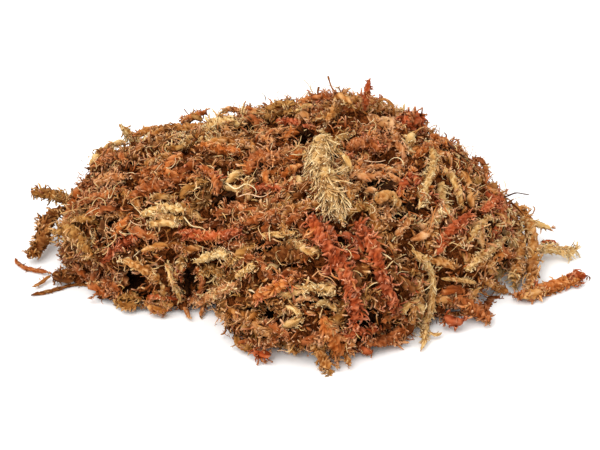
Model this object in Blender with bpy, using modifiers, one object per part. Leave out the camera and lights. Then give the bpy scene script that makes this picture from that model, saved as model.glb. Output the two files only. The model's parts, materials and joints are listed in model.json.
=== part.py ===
"""A clump of dried bog moss: a matted heap of long strands, with the strands that stand out made one by one.

The heap's own tangle is one solid with the winding ridges of its strands on it. Every strand that can be told
apart on it, sticks out of it or lies beside it is a solid of its own, bedded half deep in the heap.
Lengths are in metres, +Z is up, and the heap stands on Z = 0.
"""

import math
import random
from dataclasses import dataclass

import bmesh
import bpy
import numpy as np
from mathutils import Matrix, Vector
from mathutils.bvhtree import BVHTree

MM = 0.001

# The heap of matted moss
HEAP_HEIGHT = 44 * MM  # above the rim where the heap is widest
HEAP_RIM = 7 * MM  # the rim's height above the ground
HEAP_TUCK = 12 * MM  # how far the underside reaches below the rim before the ground cuts it
HEAP_MIDDLE = Vector((-8 * MM, 0, HEAP_RIM))
FLANK_POWER = 3.1  # the higher, the flatter the top and the steeper the flanks
FLANK_ROUNDING = 0.52
# How far the rim is from the heap's middle, every 20 degrees from +X, turning towards +Y
RIM_REACH = [r * MM for r in (95, 91, 83, 76, 72, 70, 73, 81, 90, 89, 79, 57, 45, 68, 76, 76, 74, 87)]
# Swells and dips of the heap's top: across, back, half width, rise
SWELLS = [
    (0.020, 0.028, 0.026, 12 * MM),
    (0.045, -0.005, 0.030, 2 * MM),
    (-0.045, 0.055, 0.028, -7 * MM),
    (0.040, 0.055, 0.026, -4 * MM),
    (-0.030, -0.020, 0.022, -3 * MM),
    (0.012, -0.050, 0.018, 6 * MM),
    (0.082, 0.000, 0.020, -4 * MM),
    (-0.085, 0.010, 0.018, -3 * MM),
]
# The dark hollows between the strands at the front: across and down in the view below, half width in mm
HOLLOWS = [
    (137, 278, 6.2), (187, 281, 5.2), (108, 227, 4.0), (305, 139, 3.8), (252, 130, 3.4), (225, 206, 3.6),
    (266, 254, 3.8), (332, 242, 3.6), (373, 184, 4.0), (400, 215, 4.6), (266, 306, 4.8), (320, 296, 5.0),
    (364, 322, 5.0), (498, 270, 4.6), (488, 234, 4.0),
]
HOLLOW_SINK = 0.2  # of its half width, from the heap's surface down to a hollow's middle

# The ridges of the strands inside the heap
RIDGE_COUNT = 150
RIDGE_RADIUS = (3.0 * MM, 4.4 * MM)
RIDGE_LENGTH = (30 * MM, 70 * MM)
RIDGE_STEP = 5 * MM
RIDGE_RISE = 0.35  # of the radius, from the mound's surface to a ridge's middle line
VOXEL = 1.6 * MM
HEAP_TRIANGLES = 1700  # before the strands' beds are cut
WELD = 0.004 * MM  # corners closer together than this are one
GROUND_BLOCK = 0.6  # the side of the block that cuts the heap off flat on the ground
FOOT_BAND = 0.9 * MM  # what reaches lower than this lies on the ground
SEED = 11

# The strands that are solids of their own
BED_GAP = 0.3 * MM  # between a strand and its bed in the heap
STRAND_GAP = 0.4 * MM  # the least gap between two strands
STRAND_STEP = 7.5 * MM  # between a strand's rings
STRAND_RISE = 0.5  # of the radius, from the heap's surface to a strand's middle line
ROUTE_SMOOTHING = 2
SETTLE_ROUNDS = 80

# The eye in front of the heap that the routes and hollows are laid out for. A route's point is across and down
# in its view, in view units, and it lies on the heap, or at its own height where it has a third number, in mm.
VIEW_UNIT = 0.42 * MM
VIEW_MIDDLE = (300, 225)
GROUND_SEEN_AT = 262  # how far down the view the ground under the heap's middle is seen
EYE_DISTANCE = 0.9
EYE_ELEVATION = math.radians(30)
SIGHT_CEILING = 90 * MM  # above everything in the heap
SIGHT_STEPS = 60

COLOURS = {
    "matted": (0.20, 0.085, 0.028),
    "umber": (0.13, 0.055, 0.022),
    "rust": (0.33, 0.095, 0.028),
    "red": (0.42, 0.085, 0.030),
    "orange": (0.50, 0.19, 0.045),
    "ochre": (0.50, 0.27, 0.075),
    "straw": (0.66, 0.49, 0.20),
    "rose": (0.52, 0.27, 0.15),
}
ROUGHNESS = 0.85


@dataclass
class Strand:
    """One strand: its name, its colour, its radius in mm and its route."""

    name: str
    colour: str
    radius: float
    route: list
    from_above: bool = False  # the route is across and back in mm, dropped on the heap from above
    taper: float = 0.6  # the ends' share of the radius


STRANDS = [
    # beside the heap on the left
    Strand("ochre_strand_left", "ochre", 2.7, [(80, 208, 16), (64, 200, 17), (46, 193, 17), (31, 194, 16)]),
    Strand("brown_strand_left_drop", "rust", 3.3, [
        (68, 209, 12), (55, 211, 11), (43, 216, 10), (44, 230, 7.5), (47, 242, 5), (38, 254, 3.6), (25, 261, 3.4)]),
    Strand("umber_strand_left_low", "umber", 2.6, [(94, 270, 4), (78, 274, 3.4), (64, 276, 2.8), (52, 276, 2.8)]),
    Strand("tendril_left", "ochre", 1.1, [
        (50, 272, 2.6), (38, 270, 1.6), (29, 269, 1.3), (21, 265, 1.2), (16, 258, 1.2)], taper=0.4),
    Strand("twig_left", "ochre", 0.7, [
        (93, 285, 1.0), (76, 283, 0.9), (62, 288, 0.8), (47, 292, 0.8), (31, 295, 0.8)], taper=0.7),
    # the left flank
    Strand("straw_tuft_left_top", "straw", 2.0, [(150, 143), (138, 136), (127, 130, 45), (119, 120, 49)], taper=0.4),
    Strand("rust_strand_left_shoulder", "rust", 3.8, [(92, 172), (103, 163), (117, 160), (131, 163)]),
    Strand("rose_strand_left", "rose", 3.4, [(97, 186), (111, 179), (127, 181)]),
    Strand("rust_strand_left_inner", "rust", 4.0, [(133, 200), (145, 190), (159, 192), (172, 187)]),
    Strand("olive_tuft_left", "ochre", 4.2, [(68, 234), (82, 232), (92, 243), (100, 256)]),
    Strand("red_strand_left_face", "red", 3.8, [(96, 265), (107, 251), (119, 241), (134, 236)]),
    Strand("ochre_strand_over_hollow", "ochre", 3.3, [(123, 254), (136, 255), (150, 263), (162, 274)]),
    Strand("straw_strand_left_face", "straw", 2.9, [(142, 217), (155, 207), (171, 206), (186, 212)]),
    Strand("beige_stem_left_face", "straw", 1.6, [(165, 262), (171, 279), (177, 293), (185, 304)]),
    # the top, seen along the ridge
    Strand("yellow_tuft_top", "straw", 3.9, [(208, 130), (222, 127), (236, 125)]),
    Strand("orange_strand_top", "orange", 3.7, [(200, 149), (213, 152), (228, 154), (243, 156)]),
    Strand("rust_strand_top_curl", "rust", 3.1, [(199, 169), (214, 171), (223, 183), (217, 197)]),
    Strand("red_strand_ridge", "red", 2.6, [(277, 124), (290, 122), (303, 126), (315, 131)]),
    Strand("rust_rosette", "rust", 4.8, [(248, 178), (252, 162), (266, 156), (279, 166)], taper=0.8),
    Strand("straw_tuft_crest", "straw", 5.4, [(330, 142), (322, 158), (322, 176), (331, 194), (335, 212)]),
    Strand("ochre_strand_crest", "ochre", 3.0, [(327, 125), (333, 112), (343, 104)]),
    Strand("red_sprig_crest", "red", 1.6, [(365, 112), (365, 104, 67), (366, 93, 72), (370, 79, 78)], taper=0.35),
    Strand("stem_loop_crest", "ochre", 0.8, [
        (378, 110), (379, 99, 69), (388, 98, 70), (394, 106, 67), (394, 119)], taper=1.0),
    Strand("rust_strand_crest_front", "rust", 4.0, [(341, 152), (352, 141), (366, 143), (377, 154)]),
    Strand("red_head_crest", "red", 5.2, [(401, 126), (411, 124), (419, 129)], taper=0.75),
    # the middle of the front
    Strand("red_strand_face", "red", 3.4, [(180, 232), (195, 236), (211, 238), (228, 239), (246, 231)]),
    Strand("straw_strand_face", "straw", 3.0, [(194, 261), (205, 256), (217, 252), (230, 256)]),
    Strand("umber_strand_face", "umber", 4.6, [(268, 259), (283, 252), (299, 253), (312, 261)]),
    Strand("straw_strand_mid", "straw", 2.5, [(263, 239), (278, 240), (296, 236)]),
    Strand("orange_strand_cross", "orange", 4.0, [(258, 290), (270, 284), (284, 277), (300, 270)]),
    Strand("red_strand_front", "red", 4.1, [
        (309, 219), (310, 233), (321, 248), (334, 263), (344, 280), (350, 296), (354, 310), (349, 326)]),
    Strand("red_strand_front_right", "red", 3.8, [
        (352, 224), (366, 233), (373, 249), (374, 265), (379, 281), (387, 296), (391, 314)]),
    # the feet of the heap at the front
    Strand("rust_foot_left", "rust", 3.6, [(97, 283), (107, 291), (118, 298)]),
    Strand("ochre_foot_left", "ochre", 3.3, [(148, 303), (163, 306), (179, 304)]),
    Strand("rose_strand_foot", "rose", 2.9, [(192, 302), (207, 296), (223, 291), (240, 283)]),
    Strand("rust_foot_front", "rust", 3.5, [(238, 346, 4.0), (252, 345), (266, 346), (277, 340)]),
    Strand("papery_foot_front", "orange", 3.9, [(320, 316), (326, 331), (335, 345), (340, 356, 4.2)]),
    Strand("papery_tip_front", "ochre", 2.5, [(319, 348), (325, 360, 3.0), (331, 368, 2.6)], taper=0.8),
    Strand("rust_foot_right", "rust", 3.2, [(364, 340), (378, 343, 4.0), (392, 336), (403, 326)]),
    # the right flank
    Strand("papery_strand_right", "straw", 2.4, [(428, 146), (433, 162), (428, 178), (423, 196), (417, 211)]),
    Strand("ochre_leaf_right", "ochre", 3.6, [(374, 205), (383, 193), (395, 196), (398, 210)]),
    Strand("rose_stem_right", "rose", 1.9, [(348, 181), (363, 171), (380, 168), (398, 174)]),
    Strand("red_strand_right_face", "red", 3.6, [(438, 242), (449, 234), (459, 224), (470, 216)]),
    Strand("red_tuft_right", "red", 3.0, [(476, 214), (486, 206), (497, 200)]),
    Strand("straw_strand_fork", "straw", 2.2, [
        (409, 250), (422, 261), (431, 274), (431, 292), (430, 309), (427, 327), (424, 342, 2.4)], taper=0.7),
    Strand("straw_branch_fork", "straw", 1.7, [(440, 278), (452, 279), (464, 279), (475, 283)]),
    Strand("rust_strand_right_low", "rust", 3.9, [(452, 296), (465, 303), (477, 311), (487, 318, 4.0)]),
    # beside the heap on the right
    Strand("ochre_strand_right_drop", "ochre", 3.9, [
        (506, 211, 15), (518, 221, 13), (524, 236, 10), (524, 252, 7.5), (522, 268, 5), (520, 284, 4.1)]),
    Strand("orange_strand_right_foot", "orange", 2.8, [
        (513, 296, 2.9), (528, 294, 2.9), (544, 290, 2.9), (557, 284, 2.9), (569, 278, 2.9), (581, 279, 2.9)]),
    Strand("straw_strand_right_out", "straw", 2.4, [(528, 246, 7.5), (546, 248, 6), (561, 250, 5), (573, 250, 4)]),
    Strand("beige_strand_right_top", "straw", 1.6, [(522, 221, 14), (537, 226, 12), (549, 230, 11)], taper=0.5),
    # the back, which the eye in front doesn't see
    Strand("rust_strand_back", "rust", 3.8, [(-40, 58), (-24, 62), (-6, 63), (14, 60)], from_above=True),
    Strand("ochre_strand_back_right", "ochre", 3.5, [(22, 62), (38, 50), (52, 38)], from_above=True),
    Strand("straw_strand_back", "straw", 3.0, [(-70, 26), (-58, 34), (-44, 36), (-28, 46)], from_above=True),
    Strand("red_strand_back", "red", 3.5, [(4, 48), (20, 52), (34, 44)], from_above=True),
]


def eye_and_sight(across: float, down: float) -> tuple[Vector, Vector]:
    """Where the eye is, and the way it looks through a point of its view."""
    forward = Vector((0, math.cos(EYE_ELEVATION), -math.sin(EYE_ELEVATION)))
    up = Vector((0, math.sin(EYE_ELEVATION), math.cos(EYE_ELEVATION)))
    aim = up * (GROUND_SEEN_AT - VIEW_MIDDLE[1]) * VIEW_UNIT
    offset = Vector((across - VIEW_MIDDLE[0], 0, 0)) + up * (VIEW_MIDDLE[1] - down)
    return aim - forward * EYE_DISTANCE, (forward * EYE_DISTANCE + offset * VIEW_UNIT).normalized()


def seen_at_height(across: float, down: float, height: float) -> Vector:
    """The point at a height above the ground that is seen at that place of the view."""
    eye, sight = eye_and_sight(across, down)
    return eye + sight * ((height - eye.z) / sight.z)


def nearest_to_sight(across: float, down: float, surface: BVHTree) -> Vector:
    """The place on a surface that is seen there, or else the one that passes closest to that line of sight."""
    eye, sight = eye_and_sight(across, down)
    hit, _, _, _ = surface.ray_cast(eye, sight)
    if hit is None:
        low, high = (seen_at_height(across, down, height) for height in (0, SIGHT_CEILING))
        along = [low.lerp(high, n / SIGHT_STEPS) for n in range(SIGHT_STEPS + 1)]
        hit, _, _, _ = min((surface.find_nearest(place) for place in along), key=lambda found: found[3])
    return hit


def rim_reach(turn: float) -> float:
    """How far the rim is from the heap's middle in a direction, smoothly between the listed ones."""
    place = (turn / math.tau) % 1 * len(RIM_REACH)
    before = int(place)
    share = (1 - math.cos((place - before) * math.pi)) / 2
    return RIM_REACH[before % len(RIM_REACH)] * (1 - share) + RIM_REACH[(before + 1) % len(RIM_REACH)] * share


def smooth_line(points: list[Vector], step: float) -> list[Vector]:
    """Points about a step apart along the smooth curve through the given ones."""
    padded = [points[0] * 2 - points[1], *points, points[-1] * 2 - points[-2]]
    fine = []
    for a, b, c, d in zip(padded, padded[1:], padded[2:], padded[3:]):
        for n in range(12):
            t = n / 12
            fine.append(0.5 * (2 * b + (c - a) * t + (2 * a - 5 * b + 4 * c - d) * t**2
                               + (3 * b - a - 3 * c + d) * t**3))
    fine.append(points[-1])
    along = [0.0]
    for a, b in zip(fine, fine[1:]):
        along.append(along[-1] + (b - a).length)
    count = max(3, round(along[-1] / step))
    places = np.linspace(0, along[-1], count + 1)
    columns = [np.interp(places, along, [p[axis] for p in fine]) for axis in range(3)]
    return [Vector(p) for p in zip(*columns)]


def new_object(name: str, data, collection) -> bpy.types.Object:
    """An object linked to a collection."""
    made = bpy.data.objects.new(name, data)
    collection.objects.link(made)
    return made


def surface_of(mesh: bpy.types.Mesh) -> BVHTree:
    """The mesh's faces, to find places on."""
    return BVHTree.FromPolygons([v.co for v in mesh.vertices], [f.vertices for f in mesh.polygons])


def bark(name: str) -> bpy.types.Material:
    """The plain finish of one colour of moss."""
    material = bpy.data.materials.new(name)
    material.use_nodes = True
    shader = material.node_tree.nodes["Principled BSDF"]
    shader.inputs["Base Color"].default_value = (*COLOURS[name], 1)
    shader.inputs["Roughness"].default_value = ROUGHNESS
    shader.inputs["Metallic"].default_value = 0
    return material


def tubes(name: str, lines: list, collection, sides_detail: int = 1) -> bpy.types.Object:
    """Round closed tubes as one mesh of triangles. Each line is its points, its radius and its radius shares."""
    curve = bpy.data.curves.new(name, "CURVE")
    curve.dimensions = "3D"
    curve.bevel_depth = 1
    curve.bevel_resolution = sides_detail
    curve.use_fill_caps = True
    for points, radius, shares in lines:
        spline = curve.splines.new("POLY")
        spline.points.add(len(points) - 1)
        for place, point, share in zip(spline.points, points, shares):
            place.co = (*point, 1)
            place.radius = radius * share
    swept = new_object(name, curve, collection)
    graph = bpy.context.evaluated_depsgraph_get()
    mesh = bpy.data.meshes.new_from_object(swept.evaluated_get(graph))
    bpy.data.objects.remove(swept)
    work = bmesh.new()
    work.from_mesh(mesh)
    bmesh.ops.remove_doubles(work, verts=work.verts, dist=WELD)
    bmesh.ops.recalc_face_normals(work, faces=work.faces)
    bmesh.ops.triangulate(work, faces=work.faces, quad_method="FIXED", ngon_method="EAR_CLIP")
    work.to_mesh(mesh)
    work.free()
    return new_object(name, mesh, collection)


def mound_mesh() -> bpy.types.Mesh:
    """The heap's plain mound: a sphere drawn out to the rim, with a flat top, steep flanks and swells."""
    work = bmesh.new()
    bmesh.ops.create_icosphere(work, subdivisions=5, radius=1)
    for vertex in work.verts:
        out = min(1.0, math.hypot(vertex.co.x, vertex.co.y))
        turn = math.atan2(vertex.co.y, vertex.co.x)
        reach = rim_reach(turn) * out
        x = HEAP_MIDDLE.x + reach * math.cos(turn)
        y = HEAP_MIDDLE.y + reach * math.sin(turn)
        fullness = (1 - out**FLANK_POWER) ** FLANK_ROUNDING
        rise = HEAP_HEIGHT + sum(
            lift * math.exp(-((x - cx) ** 2 + (y - cy) ** 2) / (2 * wide**2)) for cx, cy, wide, lift in SWELLS)
        height = rise * fullness if vertex.co.z > 0 else -HEAP_TUCK * fullness
        vertex.co = (x, y, HEAP_RIM + height)
    mesh = bpy.data.meshes.new("mound")
    work.to_mesh(mesh)
    work.free()
    return mesh


def walk_over(surface: BVHTree, start: Vector, way: Vector, length: float, rng: random.Random) -> list[Vector]:
    """A wandering line over a surface."""
    points = [start]
    while (len(points) - 1) * RIDGE_STEP < length:
        way = (way + Vector([rng.gauss(0, 0.28) for _ in range(3)])).normalized()
        place, normal, _, _ = surface.find_nearest(points[-1] + way * RIDGE_STEP)
        way = (way - normal * way.dot(normal)).normalized()
        points.append(place)
    return points


def ridge_lines(surface: BVHTree, mesh: bpy.types.Mesh) -> list:
    """The middle lines of the heap's own strands, evenly scattered over the mound."""
    rng = random.Random(SEED)
    faces = [f for f in mesh.polygons if f.center.z > 0]
    starts = rng.choices(faces, weights=[f.area for f in faces], k=RIDGE_COUNT)
    lines = []
    for face in starts:
        radius = rng.uniform(*RIDGE_RADIUS)
        way = Vector([rng.gauss(0, 1) for _ in range(3)])
        points = walk_over(surface, face.center.copy(), way, rng.uniform(*RIDGE_LENGTH), rng)
        lifted = [p + surface.find_nearest(p)[1] * radius * RIDGE_RISE for p in points]
        lines.append((lifted, radius, knobbly(len(lifted), 0.6, rng)))
    return lines


def knobbly(count: int, taper: float, rng: random.Random) -> list[float]:
    """Radius shares along a strand: thinner at both ends, uneven between them."""
    shares = [1 + rng.uniform(-0.13, 0.08) for _ in range(count)]
    shares[0] = shares[-1] = taper
    return shares


def routed(strand: Strand, heap: BVHTree, mound: BVHTree) -> list[Vector]:
    """The strand's middle line as its route says, half bedded where it lies on the heap."""
    radius = strand.radius * MM
    places = []
    for point in strand.route:
        if len(point) == 3:
            places.append(seen_at_height(point[0], point[1], point[2] * MM))
            continue
        if strand.from_above:
            hit, _, _, _ = heap.ray_cast(Vector((point[0] * MM, point[1] * MM, 1)), Vector((0, 0, -1)))
        else:
            hit = nearest_to_sight(*point, heap)
        _, outward, _, _ = mound.find_nearest(hit)
        places.append(hit + outward * radius * STRAND_RISE)
    line = smooth_line(places, min(STRAND_STEP, max(2.2 * radius, 3.2 * MM)))
    for _ in range(ROUTE_SMOOTHING):
        line[1:-1] = [(a + 2 * b + c) / 4 for a, b, c in zip(line, line[1:], line[2:])]
    return line


def settle(lines: list[list[Vector]], radii: list[float]) -> list[list[Vector]]:
    """Bends the strands apart, and up off the ground, until no two of them touch.

    They are tested at their points and halfway between them. What a strand is moved by is smoothed along it,
    so that it keeps its shape.
    """
    owner = np.repeat(np.arange(len(lines)), [len(line) for line in lines])
    rest = np.array([p for line in lines for p in line])
    moved = np.zeros_like(rest)
    first = np.flatnonzero(owner[:-1] == owner[1:])
    before = np.maximum(np.arange(len(owner)) - 1, np.searchsorted(owner, owner))
    after = np.minimum(np.arange(len(owner)) + 1, np.searchsorted(owner, owner, side="right") - 1)
    tested = np.concatenate([owner, owner[first]])
    radius = np.array(radii)[tested]
    strangers = tested[:, None] != tested[None, :]
    needed = radius[:, None] + radius[None, :] + STRAND_GAP
    for _ in range(SETTLE_ROUNDS):
        places = rest + moved
        spots = np.concatenate([places, (places[first] + places[first + 1]) / 2])
        apart = spots[:, None] - spots[None, :]
        distance = np.linalg.norm(apart, axis=2) + 1e-9
        short = np.where(strangers, np.clip(needed - distance, 0, None), 0)
        push = (apart / distance[:, :, None] * short[:, :, None]).sum(1) * 0.4
        push, halfway = push[:len(owner)], push[len(owner):]
        np.add.at(push, first, halfway * 0.5)
        np.add.at(push, first + 1, halfway * 0.5)
        moved += push
        moved[:, 2] = np.maximum(moved[:, 2], radius[:len(owner)] - rest[:, 2])
        moved = moved / 2 + (moved[before] + moved[after]) / 4
    places = rest + moved
    places[:, 2] = np.maximum(places[:, 2], radius[:len(owner)])
    return [[Vector(p) for p in places[owner == n]] for n in range(len(lines))]


def bed_line(line: list[Vector], radius: float, shares: list[float]) -> tuple:
    """A strand's bed as a tube: wider and longer than the strand by the gap."""
    start = line[0] + (line[0] - line[1]).normalized() * BED_GAP
    end = line[-1] + (line[-1] - line[-2]).normalized() * BED_GAP
    return [start, *line[1:-1], end], 1, [radius * share + BED_GAP for share in shares]


def heap_object(mound: bpy.types.Mesh, collection) -> bpy.types.Object:
    """The matted heap: the mound and its ridges grown into one solid, hollowed at the front and flat below."""
    ridges = tubes("ridges", ridge_lines(surface_of(mound), mound), collection, sides_detail=2)
    work = bmesh.new()
    work.from_mesh(mound)
    work.from_mesh(ridges.data)
    grown = bpy.data.meshes.new("matted_heap")
    work.to_mesh(grown)
    work.free()
    heap = new_object("matted_heap", grown, collection)
    bpy.data.objects.remove(ridges)
    one_skin(heap)
    hollows = new_object("hollows", hollows_mesh(surface_of(heap.data)), collection)
    fewer = heap.modifiers.new("fewer_faces", "DECIMATE")
    fewer.ratio = HEAP_TRIANGLES / sum(len(f.vertices) - 2 for f in heap.data.polygons)
    apply_modifiers(heap)
    mend_skin(heap.data)
    cut_away(heap, hollows)
    cut_away(heap, new_object("ground", block_below_ground(), collection))
    heap.data.materials.append(bark("matted"))
    return heap


def hollows_mesh(surface: BVHTree) -> bpy.types.Mesh:
    """The round bodies whose tops are the heap's hollows."""
    work = bmesh.new()
    for across, down, half_width in HOLLOWS:
        _, sight = eye_and_sight(across, down)
        middle = nearest_to_sight(across, down, surface) + sight * half_width * HOLLOW_SINK * MM
        bmesh.ops.create_icosphere(work, subdivisions=1, radius=half_width * MM, matrix=Matrix.Translation(middle))
    mesh = bpy.data.meshes.new("hollows")
    work.to_mesh(mesh)
    work.free()
    return mesh


def block_below_ground() -> bpy.types.Mesh:
    """A block that fills the space below the ground under the heap."""
    work = bmesh.new()
    bmesh.ops.create_cube(work, size=GROUND_BLOCK)
    bmesh.ops.translate(work, verts=work.verts, vec=(0, 0, -GROUND_BLOCK / 2))
    mesh = bpy.data.meshes.new("ground")
    work.to_mesh(mesh)
    work.free()
    return mesh


def apply_modifiers(solid: bpy.types.Object) -> None:
    """Replaces the object's mesh with what its modifiers make of it."""
    graph = bpy.context.evaluated_depsgraph_get()
    solid.data = bpy.data.meshes.new_from_object(solid.evaluated_get(graph))
    solid.modifiers.clear()


def one_skin(solid: bpy.types.Object) -> None:
    """Grows everything in the object's mesh together into one closed, slightly smoothed skin."""
    remesh = solid.modifiers.new("one_skin", "REMESH")
    remesh.mode = "VOXEL"
    remesh.voxel_size = VOXEL
    smooth = solid.modifiers.new("smooth", "SMOOTH")
    smooth.iterations = 2
    apply_modifiers(solid)


def cut_away(solid: bpy.types.Object, cutter: bpy.types.Object) -> None:
    """Cuts one object out of another and does away with it."""
    cut = solid.modifiers.new("cut", "BOOLEAN")
    cut.operation = "DIFFERENCE"
    cut.object = cutter
    cut.use_self = True
    apply_modifiers(solid)
    bpy.data.objects.remove(cutter)


def mend_skin(mesh: bpy.types.Mesh) -> None:
    """Closes the skin again where faces were folded together: takes the folded spots out and fills their holes."""
    work = bmesh.new()
    work.from_mesh(mesh)
    folded = [v for v in work.verts if not v.is_manifold or not all(e.is_manifold for e in v.link_edges)]
    bmesh.ops.delete(work, geom=folded, context="VERTS")
    bmesh.ops.delete(work, geom=[e for e in work.edges if e.is_wire], context="EDGES")
    bmesh.ops.holes_fill(work, edges=[e for e in work.edges if e.is_boundary])
    bmesh.ops.triangulate(work, faces=work.faces)
    bmesh.ops.recalc_face_normals(work, faces=work.faces)
    work.to_mesh(mesh)
    work.free()


def finish_solid(mesh: bpy.types.Mesh) -> None:
    """Leaves only the mesh's largest body, in triangles, its underside exactly on the ground."""
    work = bmesh.new()
    work.from_mesh(mesh)
    keep = largest_body(work)
    bmesh.ops.delete(work, geom=[v for v in work.verts if v not in keep], context="VERTS")
    for vertex in work.verts:
        if vertex.co.z < FOOT_BAND:
            vertex.co.z = 0
    bmesh.ops.remove_doubles(work, verts=work.verts, dist=WELD)
    bmesh.ops.triangulate(work, faces=work.faces)
    bmesh.ops.recalc_face_normals(work, faces=work.faces)
    work.to_mesh(mesh)
    work.free()


def largest_body(work: bmesh.types.BMesh) -> set:
    """The vertices of the mesh's largest connected body."""
    left, best = set(work.verts), set()
    while left:
        body, edge = set(), [left.pop()]
        while edge:
            vertex = edge.pop()
            body.add(vertex)
            fresh = [e.other_vert(vertex) for e in vertex.link_edges if e.other_vert(vertex) in left]
            left.difference_update(fresh)
            edge.extend(fresh)
        best = max(best, body, key=len)
    return best


def main() -> None:
    """Builds the clump and puts its middle over the origin."""
    for old in list(bpy.data.objects):
        bpy.data.objects.remove(old)
    clump = bpy.data.collections.new("moss_clump")
    bpy.context.scene.collection.children.link(clump)
    stand = new_object("stand", None, clump)
    mound = mound_mesh()
    heap = heap_object(mound, clump)
    surfaces = surface_of(heap.data), surface_of(mound)
    radii = [strand.radius * MM for strand in STRANDS]
    lines = settle([routed(strand, *surfaces) for strand in STRANDS], radii)
    rng = random.Random(SEED)
    shares = [knobbly(len(line), strand.taper, rng) for line, strand in zip(lines, STRANDS)]
    cut_away(heap, tubes("beds", [bed_line(*strand) for strand in zip(lines, radii, shares)], clump))
    finish_solid(heap.data)
    mend_skin(heap.data)
    finishes = {colour: bark(colour) for colour in COLOURS if colour != "matted"}
    for strand, line, radius, part in zip(STRANDS, lines, radii, shares):
        made = tubes(strand.name, [(line, radius, part)], clump)
        made.data.materials.append(finishes[strand.colour])
    bpy.context.view_layer.update()
    solids = [o for o in clump.objects if o.data]
    corners = [v.co for o in solids for v in o.data.vertices]
    for solid in solids:
        solid.parent = stand
    stand.location = [-(min(c[axis] for c in corners) + max(c[axis] for c in corners)) / 2 for axis in (0, 1)] + [0]
    bpy.context.view_layer.update()


main()
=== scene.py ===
"""The finish of a clump of dried bog moss, laid over its solid model.

Every strand of the model is dressed with leafy branchlets that grow from its own middle line. The matted
heap is covered with strands that lie over its surface, above a dark inner tangle whose darkness is partly
painted shade, and thin curled threads lie on top. Lengths are in metres, +Z is up and the clump stands on Z =
0.
"""

import json
import logging
import math
from collections.abc import Callable
from dataclasses import dataclass, field, fields
from enum import Enum
from typing import Union

import bpy
import numpy as np
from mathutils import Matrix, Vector
from mathutils.bvhtree import BVHTree
from mathutils.kdtree import KDTree


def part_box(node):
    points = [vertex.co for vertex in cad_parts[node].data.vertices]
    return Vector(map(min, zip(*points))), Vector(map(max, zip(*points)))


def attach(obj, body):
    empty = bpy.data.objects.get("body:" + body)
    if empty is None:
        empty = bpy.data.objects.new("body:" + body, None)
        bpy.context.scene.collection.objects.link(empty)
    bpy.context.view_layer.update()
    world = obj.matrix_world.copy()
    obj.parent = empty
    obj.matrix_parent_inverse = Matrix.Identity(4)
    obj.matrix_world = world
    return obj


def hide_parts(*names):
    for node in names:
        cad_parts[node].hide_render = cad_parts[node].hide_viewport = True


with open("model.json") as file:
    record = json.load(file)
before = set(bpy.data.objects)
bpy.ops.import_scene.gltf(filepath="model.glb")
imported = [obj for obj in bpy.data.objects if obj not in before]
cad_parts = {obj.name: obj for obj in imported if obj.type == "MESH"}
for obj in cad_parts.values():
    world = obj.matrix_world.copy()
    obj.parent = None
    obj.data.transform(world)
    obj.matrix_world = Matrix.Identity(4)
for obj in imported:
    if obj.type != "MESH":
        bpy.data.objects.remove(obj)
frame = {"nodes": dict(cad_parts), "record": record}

log = logging.getLogger("moss")

Array = np.ndarray
Colour = tuple[float, float, float]
Span = tuple[float, float]  # the least and the most
Rng = np.random.Generator  # the source of chance
Value = Union["Signal", float, Colour]  # what can go into a node's socket
MM = 0.001
GOLDEN_TURN = math.radians(137.5)
GROUND_CLEARANCE = 0.4 * MM  # what would reach lower than this is pressed flat above the ground
PRESS_SOFTNESS = 3.0
SEED = 7
STRAND_SEED = SEED * 1000  # of the first of the frame's strands; the others count on from it
MAP_NAME = "OFBake"  # the leaves' map: the tint's band and tone across, base to tip upwards, with painted shade low down
MAP_MARGIN = 0.01


class Tint(Enum):
    """The colours that dried strands of the moss have, each with its band of the leaves' map."""

    UMBER = 0
    RUST = 1
    RED = 2
    ORANGE = 3
    OCHRE = 4
    STRAW = 5
    ROSE = 6
    OLIVE = 7


BANDS = len(Tint)


def seen(red: int, green: int, blue: int) -> Colour:
    """The linear colour of a display colour of 0 to 255.

    Args:
        red, green, blue: the display colour.

    Returns:
        The same colour in linear light, 0 to 1.
    """
    shares = [channel / 255 for channel in (red, green, blue)]
    return tuple(s / 12.92 if s < 0.04 else ((s + 0.055) / 1.055) ** 2.4 for s in shares)


@dataclass(frozen=True)
class Signal:
    """An output of a node, with plain arithmetic that adds Math nodes."""

    sheet: "Sheet"
    socket: bpy.types.NodeSocket

    def _math(self, operation: str, first: Value, second: Value) -> "Signal":
        """The Math node of one operation on two values."""
        return self.sheet.node("ShaderNodeMath", {"operation": operation}, {0: first, 1: second})

    def __add__(self, other: Value) -> "Signal":
        """The sum."""
        return self._math("ADD", self, other)

    def __sub__(self, other: Value) -> "Signal":
        """The difference."""
        return self._math("SUBTRACT", self, other)

    def __rsub__(self, other: Value) -> "Signal":
        """The difference, taken from a number."""
        return self._math("SUBTRACT", other, self)

    def __mul__(self, other: Value) -> "Signal":
        """The product."""
        return self._math("MULTIPLY", self, other)

    def __pow__(self, power: float) -> "Signal":
        """The power."""
        return self._math("POWER", self, power)

    def __rpow__(self, base: float) -> "Signal":
        """A number raised to it."""
        return self._math("POWER", base, self)

    __radd__, __rmul__ = __add__, __mul__


MIX_SHARE, MIX_FIRST, MIX_SECOND, MIX_RESULT = 0, 6, 7, 2  # the sockets of a Mix node that mixes colours


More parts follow.
